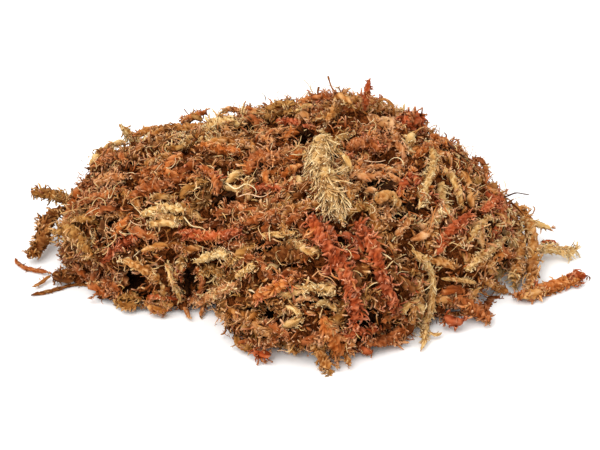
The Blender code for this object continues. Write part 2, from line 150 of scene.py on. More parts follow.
class Sheet:
    """A material's nodes, which end in one Principled shader."""

    def __init__(self, name: str) -> None:
        """Starts a material with its shader."""
        self.material = bpy.data.materials.new(name)
        self.material.use_nodes = True
        self.shader = self.material.node_tree.nodes["Principled BSDF"]

    def node(self, kind: str, settings: dict | None = None, values: dict | None = None,
             out: int = 0) -> Signal:
        """Adds a node.

        Args:
            kind: the node's type.
            settings: its properties, set first; stops are a colour ramp's places and colours.
            values: what goes into its sockets, a number, a colour or a Signal, by name or place.
            out: which of its outputs is wanted.

        Returns:
            That output.
        """
        made = self.material.node_tree.nodes.new(kind)
        for key, value in (settings or {}).items():
            if key == "stops":
                self._set_stops(made.color_ramp, value)
            else:
                setattr(made, key, value)
        for key, value in (values or {}).items():
            self.feed(made.inputs[key], value)
        return Signal(self, made.outputs[out])

    def feed(self, socket: bpy.types.NodeSocket, value: Value) -> None:
        """Links a Signal to a socket, or sets the socket to a number or colour.

        Args:
            socket: the socket.
            value: what goes into it.
        """
        if isinstance(value, Signal):
            self.material.node_tree.links.new(value.socket, socket)
        else:
            socket.default_value = value

    def mix(self, share: Value, first: Value, second: Value, blend: str = "MIX") -> Signal:
        """Mixes two colours.

        Args:
            share: how much of the second there is.
            first, second: the colours.
            blend: how they mix.

        Returns:
            The mixed colour.
        """
        first, second = (c if isinstance(c, Signal) else (*c, 1) for c in (first, second))
        values = {MIX_SHARE: share, MIX_FIRST: first, MIX_SECOND: second}
        return self.node("ShaderNodeMix", {"data_type": "RGBA", "blend_type": blend}, values, MIX_RESULT)

    def paint(self, colour: Value, roughness: Value, gloss: float, normal: Signal | None = None) -> None:
        """Feeds the shader.

        Args:
            colour: its colour.
            roughness: how dull it is.
            gloss: how much it shines.
            normal: its bump, where it has one.
        """
        inputs = {"Base Color": colour, "Roughness": roughness, "Specular IOR Level": gloss}
        if normal is not None:
            inputs["Normal"] = normal
        for name, value in inputs.items():
            self.feed(self.shader.inputs[name], value)

    @staticmethod
    def _set_stops(ramp: bpy.types.ColorRamp, stops: list[tuple[float, Colour]]) -> None:
        """Gives a ramp its stops.

        Args:
            ramp: the ramp, which has two stops at first.
            stops: a place and a colour for each.
        """
        while len(ramp.elements) < len(stops):
            ramp.elements.new(0.5)
        for element, (place, colour) in zip(ramp.elements, stops):
            element.position = place
            element.color = (*colour, 1)


TONE_STOPS = (0.0, 0.35, 0.62, 1.0)  # where a tint's four colours are between its dark and its pale end


@dataclass(frozen=True)
class MossFinish:
    """The finish of one tint of dry moss.

    Its tone runs from dark to pale across the tint's band of the map. Along the map's height a leaf goes from
    the inside of its strand, darkened with painted shade, to its dry, bleached tip.
    """

    tint: Tint
    dark: Colour
    body: Colour
    warm: Colour
    pale: Colour
    tip: Colour
    tip_share: float = 0.55  # how much of the tip's colour a tip has
    tip_power: float = 2.2  # how late along a leaf that colour comes
    inner_shade: float = 0.50  # how light the painted shade leaves the inside of a strand, beside its outside
    shade_powers: Colour = (0.75, 1.1, 2.0)  # the painted shade keeps its red and loses its blue
    grain_across: float = 240.0  # streaks over the width of the map
    grain_along: float = 7.0
    grain_detail: float = 3.0
    grain_roughness: float = 0.6
    grain_share: float = 0.42
    grain_depth: float = 0.22 * MM
    bump_strength: float = 0.5
    roughness: float = 0.72
    roughness_swing: float = 0.1
    gloss: float = 0.05

    def make(self) -> bpy.types.Material:
        """Builds the material.

        Returns:
            The material, which reads only the leaves' map.
        """
        sheet = Sheet("moss_" + self.tint.name.lower())
        place = sheet.node("ShaderNodeUVMap", {"uv_map": MAP_NAME})
        across = sheet.node("ShaderNodeSeparateXYZ", values={0: place})
        along = sheet.node("ShaderNodeSeparateXYZ", values={0: place}, out=1)
        tone = across * BANDS - self.tint.value
        ramp = list(zip(TONE_STOPS, (self.dark, self.body, self.warm, self.pale)))
        body = sheet.node("ShaderNodeValToRGB", {"stops": ramp}, {0: tone})
        tipped = sheet.mix(along**self.tip_power * self.tip_share, body, self.tip)
        streaks = sheet.node("ShaderNodeCombineXYZ", values={
            0: across * self.grain_across, 1: along * self.grain_along})
        grain = sheet.node("ShaderNodeTexNoise", {"noise_dimensions": "2D"}, {
            "Vector": streaks, "Scale": 1.0, "Detail": self.grain_detail, "Roughness": self.grain_roughness})
        # painted shade: low in the map, towards a strand's inside, the colour is darkened, and the grain
        # varies it
        depth = along * (1 - self.inner_shade) + self.inner_shade
        light = depth * (grain * 2 * self.grain_share + (1 - self.grain_share))
        shade = sheet.node("ShaderNodeCombineXYZ", values={
            axis: light**power for axis, power in enumerate(self.shade_powers)})
        colour = sheet.mix(1.0, tipped, shade, "MULTIPLY")
        bump = sheet.node("ShaderNodeBump", values={
            "Height": grain, "Distance": self.grain_depth, "Strength": self.bump_strength})
        swing = self.roughness_swing
        sheet.paint(colour, grain * (2 * swing) + (self.roughness - swing), self.gloss, bump)
        return sheet.material


FINISHES = [
    MossFinish(Tint.UMBER, seen(64, 26, 4), seen(114, 60, 23), seen(150, 90, 43), seen(188, 136, 84),
               seen(210, 168, 120), tip_share=0.5),
    MossFinish(Tint.RUST, seen(98, 40, 8), seen(158, 80, 34), seen(186, 108, 58), seen(212, 154, 112),
               seen(226, 188, 154)),
    MossFinish(Tint.RED, seen(104, 34, 8), seen(164, 68, 32), seen(192, 94, 52), seen(216, 142, 106),
               seen(230, 182, 152)),
    MossFinish(Tint.ORANGE, seen(130, 58, 14), seen(188, 102, 44), seen(210, 130, 68), seen(228, 174, 122),
               seen(238, 204, 164)),
    MossFinish(Tint.OCHRE, seen(120, 62, 18), seen(182, 118, 60), seen(204, 148, 90), seen(226, 184, 138),
               seen(236, 208, 174)),
    MossFinish(Tint.STRAW, seen(152, 98, 42), seen(206, 160, 102), seen(220, 184, 128), seen(232, 208, 162),
               seen(242, 224, 190), inner_shade=0.64),
    MossFinish(Tint.ROSE, seen(124, 60, 24), seen(192, 124, 78), seen(212, 154, 108), seen(230, 188, 150),
               seen(242, 212, 182)),
    MossFinish(Tint.OLIVE, seen(86, 44, 10), seen(150, 98, 48), seen(176, 126, 68), seen(206, 164, 106),
               seen(222, 190, 142), tip_share=0.5),
]


OBJECT_PLACE = 3  # the output of a Texture Coordinate node that gives places in the object


@dataclass(frozen=True)
class TangleFinish:
    """The heap's dark inside, as it shows deep between the strands: partly its own brown, partly painted
    shade.
    """

    name: str = "inner_tangle"
    # the deep colour is dark partly as painted shade
    deep: Colour = seen(66, 28, 8)
    fibre: Colour = seen(150, 82, 36)
    deep_stop: float = 0.42  # the noise's values that have the two colours
    fibre_stop: float = 0.72
    fibre_size: float = 1.5 * MM
    fibre_detail: float = 4.0
    fibre_roughness: float = 0.7
    fibre_depth: float = 1.2 * MM
    roughness: float = 0.9
    gloss: float = 0.03

    def make(self) -> bpy.types.Material:
        """Builds the material.

        Returns:
            The material.
        """
        sheet = Sheet(self.name)
        place = sheet.node("ShaderNodeTexCoord", out=OBJECT_PLACE)
        fibres = sheet.node("ShaderNodeTexNoise", values={
            "Vector": place, "Scale": 1 / self.fibre_size, "Detail": self.fibre_detail,
            "Roughness": self.fibre_roughness})
        stops = [(self.deep_stop, self.deep), (self.fibre_stop, self.fibre)]
        colour = sheet.node("ShaderNodeValToRGB", {"stops": stops}, {0: fibres})
        bump = sheet.node("ShaderNodeBump", values={
            "Height": fibres, "Distance": self.fibre_depth, "Strength": 1.0})
        sheet.paint(colour, self.roughness, self.gloss, bump)
        return sheet.material


@dataclass(frozen=True)
class PlainFinish:
    """A plain pale surface, for the floor."""

    name: str
    colour: Colour
    roughness: float = 0.8
    gloss: float = 0.1

    def make(self) -> bpy.types.Material:
        """Builds the material.

        Returns:
            The material.
        """
        sheet = Sheet(self.name)
        sheet.paint((*self.colour, 1), self.roughness, self.gloss)
        return sheet.material


@dataclass(frozen=True)
class View:
    """The eye in front of the heap, and where a place of its 600 by 450 picture is in the room."""

    unit: float = 0.42 * MM  # what one picture unit spans at the heap's middle
    middle: tuple[float, float] = (300.0, 225.0)
    ground_row: float = 262.0  # how far down the ground under the heap's middle is seen
    distance: float = 0.9
    elevation: float = math.radians(30)
    stand: Vector = field(default_factory=lambda: Vector((1.8 * MM, 4.4 * MM, 0)))  # the heap's middle
    sensor: float = 36.0
    clip_start: float = 0.01
    clip_end: float = 20.0
    search_start: float = 0.8  # of the distance, where a search along a line of sight begins
    search_step: float = 0.01
    search_count: int = 40

    @property
    def forward(self) -> Vector:
        """The way the eye looks."""
        return Vector((0, math.cos(self.elevation), -math.sin(self.elevation)))

    @property
    def upward(self) -> Vector:
        """Up in the picture."""
        return Vector((0, math.sin(self.elevation), math.cos(self.elevation)))

    @property
    def eye(self) -> Vector:
        """Where the eye is."""
        aim = self.upward * (self.ground_row - self.middle[1]) * self.unit
        return self.stand + aim - self.forward * self.distance

    def sight(self, across: float, down: float) -> Vector:
        """The way to what is seen at a place of the picture."""
        offset = Vector((across - self.middle[0], 0, 0)) + self.upward * (self.middle[1] - down)
        return (self.forward * self.distance + offset * self.unit).normalized()

    def on_surface(self, across: float, down: float, surface: BVHTree) -> Vector:
        """The place on a surface that is seen there, or the one nearest to that line of sight.

        Args:
            across, down: the place in the picture.
            surface: the surface to look at.

        Returns:
            The place.
        """
        sight = self.sight(across, down)
        hit = surface.ray_cast(self.eye, sight)[0]
        if hit is None:
            shares = [self.search_start + self.search_step * n for n in range(self.search_count)]
            tries = [self.eye + sight * self.distance * share for share in shares]
            hit = min((surface.find_nearest(place) for place in tries), key=lambda found: found[3])[0]
        return hit

    def before_surface(self, across: float, down: float, surface: BVHTree, rise: float) -> Vector:
        """The point that is seen at a place of the picture and lies before a surface, or beside it.

        Args:
            across, down: the place in the picture.
            surface: the surface.
            rise: how far before the surface.

        Returns:
            The point.
        """
        sight = self.sight(across, down)
        place = self.on_surface(across, down, surface)
        return self.eye + sight * ((place - self.eye).dot(sight) - rise)

    def at_height(self, across: float, down: float, height: float) -> Vector:
        """The point at a height above the ground that is seen at a place of the picture."""
        sight = self.sight(across, down)
        return self.eye + sight * ((height - self.eye.z) / sight.z)

    def camera(self) -> bpy.types.Object:
        """Makes the camera.

        Returns:
            The camera, which frames the picture.
        """
        data = bpy.data.cameras.new("camera")
        data.sensor_width = self.sensor
        data.lens = self.sensor * self.distance / (2 * self.middle[0] * self.unit)
        data.clip_start = self.clip_start
        data.clip_end = self.clip_end
        made = bpy.data.objects.new("camera", data)
        made.location = self.eye
        made.rotation_euler = (math.pi / 2 - self.elevation, 0, 0)
        bpy.context.scene.collection.objects.link(made)
        return made


def unit_rows(rows: Array) -> Array:
    """The rows drawn to length 1."""
    return rows / np.maximum(np.linalg.norm(rows, axis=-1, keepdims=True), 1e-9)


def dots(first: Array, second: Array) -> Array:
    """The dot product of each pair of rows, as a column."""
    return (first * second).sum(-1, keepdims=True)


WAVE_LENGTHS = (0.7, 1.8)  # of the patches' size


class Patches:
    """Smooth, repeatable ups and downs in space, about -1 to 1, for what varies from patch to patch."""

    def __init__(self, size: float, seed: int, waves: int = 9) -> None:
        """Draws the waves.

        Args:
            size: how far apart ups and downs are.
            seed: the drawing's own number.
            waves: how many waves are summed.
        """
        rng = np.random.default_rng(seed)
        ways = unit_rows(rng.normal(size=(waves, 3)))
        self.ways = ways * math.tau / (size * rng.uniform(*WAVE_LENGTHS, (waves, 1)))
        self.starts = rng.uniform(0, math.tau, waves)
        self.height = math.sqrt(2 / waves)

    def at(self, places: Array) -> Array:
        """How high the patches are at each place."""
        return np.sin(places @ self.ways.T + self.starts).sum(-1) * self.height


CURVE_STEPS = 12  # points of a smooth line between two of the places that it passes
UPRIGHT = 0.1  # a line whose way has a smaller level part than this starts straight up or down


@dataclass
class Course:
    """A strand's middle line: its points, its radius at each, and the ways ahead of and across it."""

    points: Array
    radii: Array
    ahead: Array = field(init=False)
    aside: Array = field(init=False)
    above: Array = field(init=False)
    along: Array = field(init=False)

    def __post_init__(self) -> None:
        """Works out the ways along and across the line without needless twist."""
        self.ahead = unit_rows(np.gradient(self.points, axis=0))
        steps = np.linalg.norm(np.diff(self.points, axis=0), axis=1)
        self.along = np.concatenate([[0], np.cumsum(steps)])
        start = np.cross(self.ahead[0], (0, 0, 1))
        if np.linalg.norm(start) < UPRIGHT:
            start = np.cross(self.ahead[0], (0, 1, 0))
        aside = [start / np.linalg.norm(start)]
        for ahead in self.ahead[1:]:
            level = aside[-1] - ahead * (aside[-1] @ ahead)
            aside.append(level / np.linalg.norm(level))
        self.aside = np.array(aside)
        self.above = np.cross(self.ahead, self.aside)

    @property
    def length(self) -> float:
        """How long the line is."""
        return float(self.along[-1])

    @classmethod
    def through(cls, places: Array, radii: Array, step: float = 0.8 * MM) -> "Course":
        """A smooth line through some places.

        Args:
            places: the places, in order.
            radii: the radius at each.
            step: how far apart the line's own points are.

        Returns:
            The course.
        """
        places = np.asarray(places, float)
        padded = np.vstack([2 * places[0] - places[1], places, 2 * places[-1] - places[-2]])
        a, b, c, d = padded[:-3, None], padded[1:-2, None], padded[2:-1, None], padded[3:, None]
        t = np.linspace(0, 1, CURVE_STEPS, endpoint=False)[None, :, None]
        square, cube = 2 * a - 5 * b + 4 * c - d, 3 * b - a - 3 * c + d
        fine = 0.5 * (2 * b + (c - a) * t + square * t**2 + cube * t**3)
        fine = np.vstack([fine.reshape(-1, 3), places[-1]])
        index = np.append(np.linspace(0, len(places) - 1, len(fine) - 1, endpoint=False), len(places) - 1)
        along = np.concatenate([[0], np.cumsum(np.linalg.norm(np.diff(fine, axis=0), axis=1))])
        marks = np.linspace(0, along[-1], max(4, round(along[-1] / step)))
        points = np.stack([np.interp(marks, along, fine[:, axis]) for axis in range(3)], 1)
        thick = np.interp(np.interp(marks, along, index), np.arange(len(places)), radii)
        return cls(points, thick)

    def at(self, shares: Array) -> tuple[Array, Array, Array, Array, Array]:
        """What the line is like at shares of its length.

        Args:
            shares: places along it, 0 to 1.

        Returns:
            The points, the ways ahead, aside and above, and the radii.
        """
        place = np.clip(shares, 0, 1) * self.length
        columns = np.hstack([self.points, self.ahead, self.aside, self.above, self.radii[:, None]])
        found = np.stack([np.interp(place, self.along, column) for column in columns.T], 1)
        return found[:, :3], found[:, 3:6], found[:, 6:9], found[:, 9:12], found[:, 12]


@dataclass
class Shapes:
    """Closed shapes as triangles: their corners, and each triangle's tint and place in the leaves' map."""

    corners: Array
    triangles: Array
    places: Array  # for each triangle's three corners
    tints: Array

    @classmethod
    def joined(cls, several: list["Shapes"]) -> "Shapes":
        """Joins several sets.

        Args:
            several: the sets.

        Returns:
            All their shapes in one set.
        """
        offsets = np.cumsum([0] + [len(one.corners) for one in several[:-1]])
        return cls(np.concatenate([one.corners for one in several]),
                   np.concatenate([one.triangles + offset for one, offset in zip(several, offsets)]),
                   np.concatenate([one.places for one in several]),
                   np.concatenate([one.tints for one in several]))

    def only(self, chosen: Array) -> "Shapes":
        """Some of the triangles, with the corners that they use."""
        used, fresh = np.unique(self.triangles[chosen], return_inverse=True)
        return Shapes(self.corners[used], fresh.reshape(-1, 3), self.places[chosen], self.tints[chosen])

    def split(self, most: int) -> list["Shapes"]:
        """Splits the shapes from left to right, each shape whole.

        Args:
            most: about how many triangles a part can have.

        Returns:
            The parts.
        """
        parts = 1 + len(self.triangles) // most
        if parts == 1:
            return [self]
        bodies = body_numbers(self.triangles, len(self.corners))
        middles = np.bincount(bodies, self.corners[:, 0]) / np.bincount(bodies)
        across = middles[bodies[self.triangles[:, 0]]]
        edges = np.quantile(across, np.linspace(0, 1, parts + 1)[1:-1])
        part = np.searchsorted(edges, across)
        return [self.only(part == number) for number in range(parts)]

    def piece(self, name: str) -> bpy.types.Object:
        """Makes one object of the shapes.

        Args:
            name: the object's name.

        Returns:
            The object, with its map and a material slot for each tint that it has.
        """
        mesh = bpy.data.meshes.new(name)
        mesh.vertices.add(len(self.corners))
        mesh.vertices.foreach_set("co", pressed(self.corners).astype(np.float32).ravel())
        mesh.loops.add(self.triangles.size)
        mesh.loops.foreach_set("vertex_index", self.triangles.astype(np.int32).ravel())
        mesh.polygons.add(len(self.triangles))
        mesh.polygons.foreach_set("loop_start", np.arange(0, self.triangles.size, 3, dtype=np.int32))
        used = np.unique(self.tints)
        mesh.polygons.foreach_set("material_index", np.searchsorted(used, self.tints).astype(np.int32))
        layer = mesh.uv_layers.new(name=MAP_NAME)
        layer.uv.foreach_set("vector", self.places.astype(np.float32).ravel())
        for tint in used:
            mesh.materials.append(bpy.data.materials["moss_" + Tint(int(tint)).name.lower()])
        mesh.update(calc_edges=True)
        made = bpy.data.objects.new(name, mesh)
        bpy.context.scene.collection.objects.link(made)
        return made


def body_numbers(triangles: Array, count: int) -> Array:
    """Numbers the bodies that triangles make, where the corners of a body follow each other.

    Args:
        triangles: three corners for each triangle.
        count: how many corners there are.

    Returns:
        For each corner, its body's number.
    """
    starts = np.ones(count, bool)
    low, high = triangles.min(1), triangles.max(1)
    inside = np.zeros(count + 1, int)
    np.add.at(inside, low + 1, 1)
    np.add.at(inside, high + 1, -1)
    starts[np.cumsum(inside)[:count] > 0] = False
    return np.cumsum(starts) - 1


def map_places(tint: Array, tone: Array, rise: Array) -> Array:
    """Places in the leaves' map.

    Args:
        tint: which tint's band.
        tone: how pale, 0 to 1.
        rise: from the inside of a strand, 0, to the tips of its leaves, 1; low values get painted shade.

    Returns:
        The places, as one more column of two.
    """
    across = (tint + np.clip(tone, EDGE_TONE, 1 - EDGE_TONE)) / BANDS
    return np.stack(np.broadcast_arrays(across, np.clip(rise, MAP_MARGIN, 1 - MAP_MARGIN)), -1)


def pressed(places: Array) -> Array:
    """Bends whatever would pass through the ground flat above it.

    Args:
        places: places in the room.

    Returns:
        The places, none of them below the ground.
    """
    low = places[:, 2] < GROUND_CLEARANCE
    bent = places.copy()
    bent[low, 2] = GROUND_CLEARANCE * np.exp((places[low, 2] / GROUND_CLEARANCE - 1) / PRESS_SOFTNESS)
    return bent


def tube_shapes(rings: Array, tips: Array, sides: int, tint: Array, tone: Array, rise: Array,
                tip_rise: Array) -> Shapes:
    """Closed tubes that end in a point.

    Args:
        rings: the corners of each tube's rings, as tube, ring, side and axis.
        tips: each tube's last point.
        sides: how many sides the tubes have.
        tint: each tube's tint.
        tone: the tone of each side of each ring of each tube.
        rise: how far out each of these is, in the map.
        tip_rise: how far out the tips are.

    Returns:
        The tubes.
    """
    count, levels = rings.shape[:2]
    each = levels * sides + 1
    corners = np.concatenate([rings.reshape(count, -1, 3), tips[:, None]], 1).reshape(-1, 3)
    step = np.arange(sides)
    nxt = (step + 1) % sides
    faces = []
    for level in range(levels - 1):
        near, far = level * sides, (level + 1) * sides
        a, b, c, d = near + step, near + nxt, far + nxt, far + step
        faces += [np.stack([a, b, c], 1), np.stack([a, c, d], 1)]
    last = (levels - 1) * sides
    faces.append(np.stack([last + step, last + nxt, np.full(sides, each - 1)], 1))
    faces.append(np.stack([np.zeros(sides - 2, int), step[2:], step[1:-1]], 1))
    faces = np.concatenate(faces)
    triangles = (np.arange(count)[:, None, None] * each + faces).reshape(-1, 3)
    swing = np.cos(step * math.tau / sides) * EDGE_TONE
    all_tone = np.concatenate([(tone + swing).reshape(count, -1), tone[:, -1, :1]], 1)
    all_rise = np.concatenate([rise.reshape(count, -1), tip_rise[:, None]], 1)
    places = map_places(tint[:, None], all_tone, all_rise).reshape(-1, 2)[triangles]
    return Shapes(corners, triangles, places, np.repeat(tint, len(faces)))


def leaf_shapes(base: Array, end: Array, half: Array, keel: Array, tint: Array, tone: Array,
                rise: Array) -> Shapes:
    """Small pointed leaves, each a closed sliver of four triangles.

    Args:
        base, end: where each leaf begins and ends.
        half: from its midrib to one edge.
        keel: from its edges up to its midrib.
        tint: its tint.
        tone: its tone.
        rise: how far out on its strand it stands, 0 to 1.

    Returns:
        The leaves.
    """
    middle = base + (end - base) * WIDEST - keel
    corners = np.stack([base, middle + half, middle - half, end], 1).reshape(-1, 3)
    faces = np.array([(0, 3, 1), (0, 2, 3), (0, 1, 2), (3, 2, 1)])
    triangles = (np.arange(len(base))[:, None, None] * 4 + faces).reshape(-1, 3)
    sideways = np.array([0, 1, -1, 0]) * EDGE_TONE
    all_rise = (1 - LEAF_RISE) * rise[:, None] + np.array([0, WIDEST, WIDEST, 1]) * LEAF_RISE
    places = map_places(tint[:, None], tone[:, None] + sideways, all_rise).reshape(-1, 2)
    return Shapes(corners, triangles, places[triangles], np.repeat(tint, len(faces)))


@dataclass(frozen=True)
class Growth:
    """How the branchlets of a strand grow, and the leaves on them, with reaches in shares of its radius."""

    crowding: float  # branchlets to a square millimetre of length times radius
    reach: Span  # a branchlet's length
    outward: float  # how much it grows out of its strand,
    forward: float  # along the strand
    stray: float  # and any other way
    curl: float  # how far a branchlet turns from its root to its tip
    hug: float  # how much it turns back towards its strand
    thickness: float  # a branchlet's radius, on a strand of usual thickness
    leaves: int  # on a branchlet
    leaf_length: float
    leaf_width: float  # half of it, as a share of the length
    splay: Span  # the angle between a leaf and its branchlet
    inner: float = 0.35  # where the branchlets start
    bunch: float = 3.0  # branchlets in one bunch
    bunch_spread: float = 1.0 * MM
    core: float = 0.30  # the least radius of the strand's dense middle
    crumple: float = 0.50  # how much more its knobs have


class Habit(Enum):
    """The ways a strand can be leafy."""

    TUFTED = Growth(crowding=0.95, reach=(0.8, 1.6), outward=0.7, forward=0.4, stray=0.7, curl=2.3, hug=0.6,
                    thickness=0.42 * MM, leaves=1, leaf_length=1.7 * MM, leaf_width=0.26, splay=(0.3, 1.0))
    FLEECE = Growth(crowding=4.0, reach=(1.2, 2.4), outward=0.3, forward=1.0, stray=0.24, curl=1.0, hug=0.5,
                    thickness=0.28 * MM, leaves=1, leaf_length=2.4 * MM, leaf_width=0.16, splay=(0.1, 0.4),
                    inner=0.55, bunch=4.0, bunch_spread=1.6 * MM, core=0.52, crumple=0.4)
    COMBED = Growth(crowding=1.1, reach=(1.1, 1.9), outward=0.45, forward=1.0, stray=0.35, curl=1.1, hug=0.3,
                    thickness=0.42 * MM, leaves=1, leaf_length=2.2 * MM, leaf_width=0.22, splay=(0.15, 0.5))
    PAPERY = Growth(crowding=0.42, reach=(0.8, 1.4), outward=0.6, forward=0.8, stray=0.35, curl=1.2, hug=0.4,
                    thickness=0.6 * MM, leaves=4, leaf_length=3.4 * MM, leaf_width=0.28, splay=(0.2, 0.8),
                    inner=0.3)
    CATKIN = Growth(crowding=1.3, reach=(0.8, 1.3), outward=0.8, forward=0.4, stray=0.6, curl=2.2, hug=0.6,
                    thickness=0.42 * MM, leaves=1, leaf_length=1.5 * MM, leaf_width=0.28, splay=(0.25, 0.9))
    HEAD = Growth(crowding=2.2, reach=(0.5, 0.9), outward=1.0, forward=0.1, stray=0.5, curl=2.4, hug=1.1,
                  thickness=0.42 * MM, leaves=1, leaf_length=1.4 * MM, leaf_width=0.28, splay=(0.3, 0.9),
                  inner=0.5)
    STEM = Growth(crowding=0.9, reach=(0.8, 1.8), outward=0.5, forward=1.0, stray=0.3, curl=1.0, hug=0.2,
                  thickness=0.28 * MM, leaves=3, leaf_length=1.6 * MM, leaf_width=0.2, splay=(0.2, 0.6),
                  inner=0.2)


USUAL_RADIUS = 3.6 * MM
SIZE_LIMITS = (0.55, 1.15)  # how small and how big leaves get on thin and thick strands
DROOP = np.array((0.0, 0.0, 0.2))  # how much branchlets hang
WIDEST = 0.4  # how far along a leaf is widest
LEAF_RISE = 0.3  # how much of the map's height a leaf spans
LEAF_PALENESS = 0.1  # how much paler than its branchlet a leaf is
LEAF_SIZES = (0.7, 1.3)  # how much leaves differ in length
LEAF_TAPER = (1.1, 0.4)  # the innermost leaf's length, and how much less the outermost has
LEAF_START = 0.6  # where on a branchlet the first is, as a share of the way to the second
LEAF_ROOT = 0.15  # how far out in the map leaves can begin
LEAF_WIDTHS = (0.75, 1.3)
KEEL = 0.55  # how high a leaf's midrib stands, as a share of its half width
EDGE_TONE = 0.03  # how much paler and darker a shape's two sides are
FINGER_RINGS = ((0.0, 0.7), (0.3, 1.0), (0.62, 0.95), (0.9, 0.66))  # along a branchlet, and how thick it is
FINGER_SIDES = 3
FINGER_RISE = (0.1, 0.8)  # how far out in the map its root is, and how much farther its end
FINGER_TIP_RISE = 0.97
FINGER_PALENESS = 0.2  # how much paler its end is than its root
FINGER_FLATNESS = (1.3, 0.75)  # how wide and how thick it is, as shares of the usual
FINGER_SIZES = (0.65, 1.3)  # how much branchlets differ in thickness
UNEVENNESS = (0.75, 1.25)  # how much one of them differs from place to place


@dataclass(frozen=True)
class Chance:
    """How much chance moves a strand's branchlets, their leaves and the knobs of its core about."""

    turn: float = 0.35  # a branchlet in its bunch, round the strand
    bunch_lean: float = 0.7  # what a whole bunch turns towards
    lean: float = 0.5
    face: float = 0.35
    curl: Span = (0.3, 1.5)  # of the usual
    patch_share: float = 0.5  # how much patches say where the second tint is
    bunch_mottle: float = 0.45
    bunch_tone: float = 0.15
    tone: float = 0.18
    finger_tone: float = 0.07  # within a branchlet
    leaf_tone: float = 0.12
    knob_place: float = 0.4  # as a share of its distance from the next
    knob_power: float = 1.3
    knob_tone: float = 0.12
    knob_rise: float = 0.25


CHANCE = Chance()


@dataclass
class Curls:
    """The middle lines of many branchlets, each an arc."""

    root: Array
    way: Array  # the way that each sets out
    side: Array  # what it turns towards
    face: Array  # what its broad face looks at
    length: Array
    turning: Array  # how far it turns in all
    tint: Array
    tone: Array

    def at(self, t: Array) -> tuple[Array, Array]:
        """Finds places along the branchlets.

        Args:
            t: shares of their length.

        Returns:
            The places, and the way that the branchlets go there.
        """
        angle = self.turning[:, None, None] * t
        bow = (self.length / self.turning)[:, None, None]
        root, way, side = self.root[:, None], self.way[:, None], self.side[:, None]
        place = root + bow * (np.sin(angle) * way + (1 - np.cos(angle)) * side)
        return place, np.cos(angle) * way + np.sin(angle) * side

    def middles(self) -> Array:
        """The branchlets' middles."""
        return self.at(np.array([0.5])[None, :, None])[0][:, 0]

    def only(self, chosen: Array) -> "Curls":
        """Some of the branchlets."""
        return Curls(*(getattr(self, part.name)[chosen] for part in fields(self)))

    def fingers(self, thickness: float, rng: Rng) -> Shapes:
        """Makes the branchlets themselves, curled flat fingers with a blunt tip.

        Args:
            thickness: how thick they are.
            rng: the source of chance.

        Returns:
            Their shapes.
        """
        count = len(self.root)
        t, taper = np.array(FINGER_RINGS).T[:, None]
        t = t[:, :, None]
        spine, ahead = self.at(t)
        aside = unit_rows(np.cross(ahead, self.face[:, None]))
        above = np.cross(aside, ahead)
        turn = (np.arange(FINGER_SIDES) * math.tau / FINGER_SIDES + math.pi / 2)[None, None, :, None]
        around = (count, len(FINGER_RINGS), FINGER_SIDES)
        thick = thickness * rng.uniform(*FINGER_SIZES, (count, 1)) * taper
        thick = thick[:, :, None, None] * rng.uniform(*UNEVENNESS, (*around, 1))
        wide, high = FINGER_FLATNESS
        across = aside[:, :, None] * np.cos(turn) * wide + above[:, :, None] * np.sin(turn) * high
        low, more = FINGER_RISE
        rise = np.broadcast_to(low + more * t, around)
        paler_outwards = FINGER_PALENESS * (t - 0.5)
        tones = self.tone[:, None, None] + rng.normal(0, CHANCE.finger_tone, around) + paler_outwards
        tip = self.at(np.ones((1, 1, 1)))[0][:, 0]
        return tube_shapes(spine[:, :, None] + across * thick, tip, FINGER_SIDES, self.tint, tones, rise,
                           np.full(count, FINGER_TIP_RISE))

    def leaves(self, growth: Growth, size: float, rng: Rng) -> Shapes:
        """Makes the leaves that stand off the branchlets.

        Args:
            growth: how they grow.
            size: how big they are, 1 on a strand of usual thickness.
            rng: the source of chance.

        Returns:
            Their shapes.
        """
        count, each = len(self.root), growth.leaves
        t = ((np.arange(each) + LEAF_START) / each)[None, :, None]
        spots, ahead = self.at(t)
        start = unit_rows(np.cross(ahead, rng.normal(size=(count, 1, 3))))
        turn = np.arange(each)[None, :, None] * GOLDEN_TURN + rng.uniform(0, math.tau, (count, 1, 1))
        out = start * np.cos(turn) + np.cross(ahead, start) * np.sin(turn)
        splay = rng.uniform(*growth.splay, (count, each, 1))
        axis = ahead * np.cos(splay) + out * np.sin(splay)
        most, less = LEAF_TAPER
        leaf = growth.leaf_length * size * rng.uniform(*LEAF_SIZES, (count, each, 1)) * (most - less * t)
        rib = unit_rows(out - axis * dots(out, axis))
        edge = np.cross(rib, axis)
        half = edge * leaf * growth.leaf_width * rng.uniform(*LEAF_WIDTHS, (count, each, 1))
        keel = rib * leaf * growth.leaf_width * KEEL
        tones = self.tone[:, None] + rng.normal(0, CHANCE.leaf_tone, (count, each)) + LEAF_PALENESS
        rise = np.broadcast_to(LEAF_ROOT + (1 - LEAF_ROOT) * t[:, :, 0], (count, each))
        flat = (count * each, 3)
        return leaf_shapes(spots.reshape(flat), (spots + axis * leaf).reshape(flat), half.reshape(flat),
                           keel.reshape(flat), np.repeat(self.tint, each), tones.ravel(), rise.ravel())


LEAST_CURL = 0.05
CORE_SPAN = (0.01, 0.96)  # where a core begins and ends along its strand
CORE_END = 0.3  # how thick its ends are
CORE_TAPER = 8  # one part in so many of its length narrows to each end
CORE_PAINTED_SHADE = 0.28  # painted shade: how much darker than its strand a core's creases are
KNOB_PAINTED_LIGHT = 0.35  # painted light: how much paler than its creases its knobs are
CORE_PATCH = 0.1  # how much its tone differs from patch to patch
CORE_RISE = (0.02, 0.5)  # how far out in the map its creases are, and how much farther its knobs; lower gets more painted shade
CORE_TIP_RISE = 0.4
BRANCHLET_DARKNESS = 0.04  # beside the strand's own tone


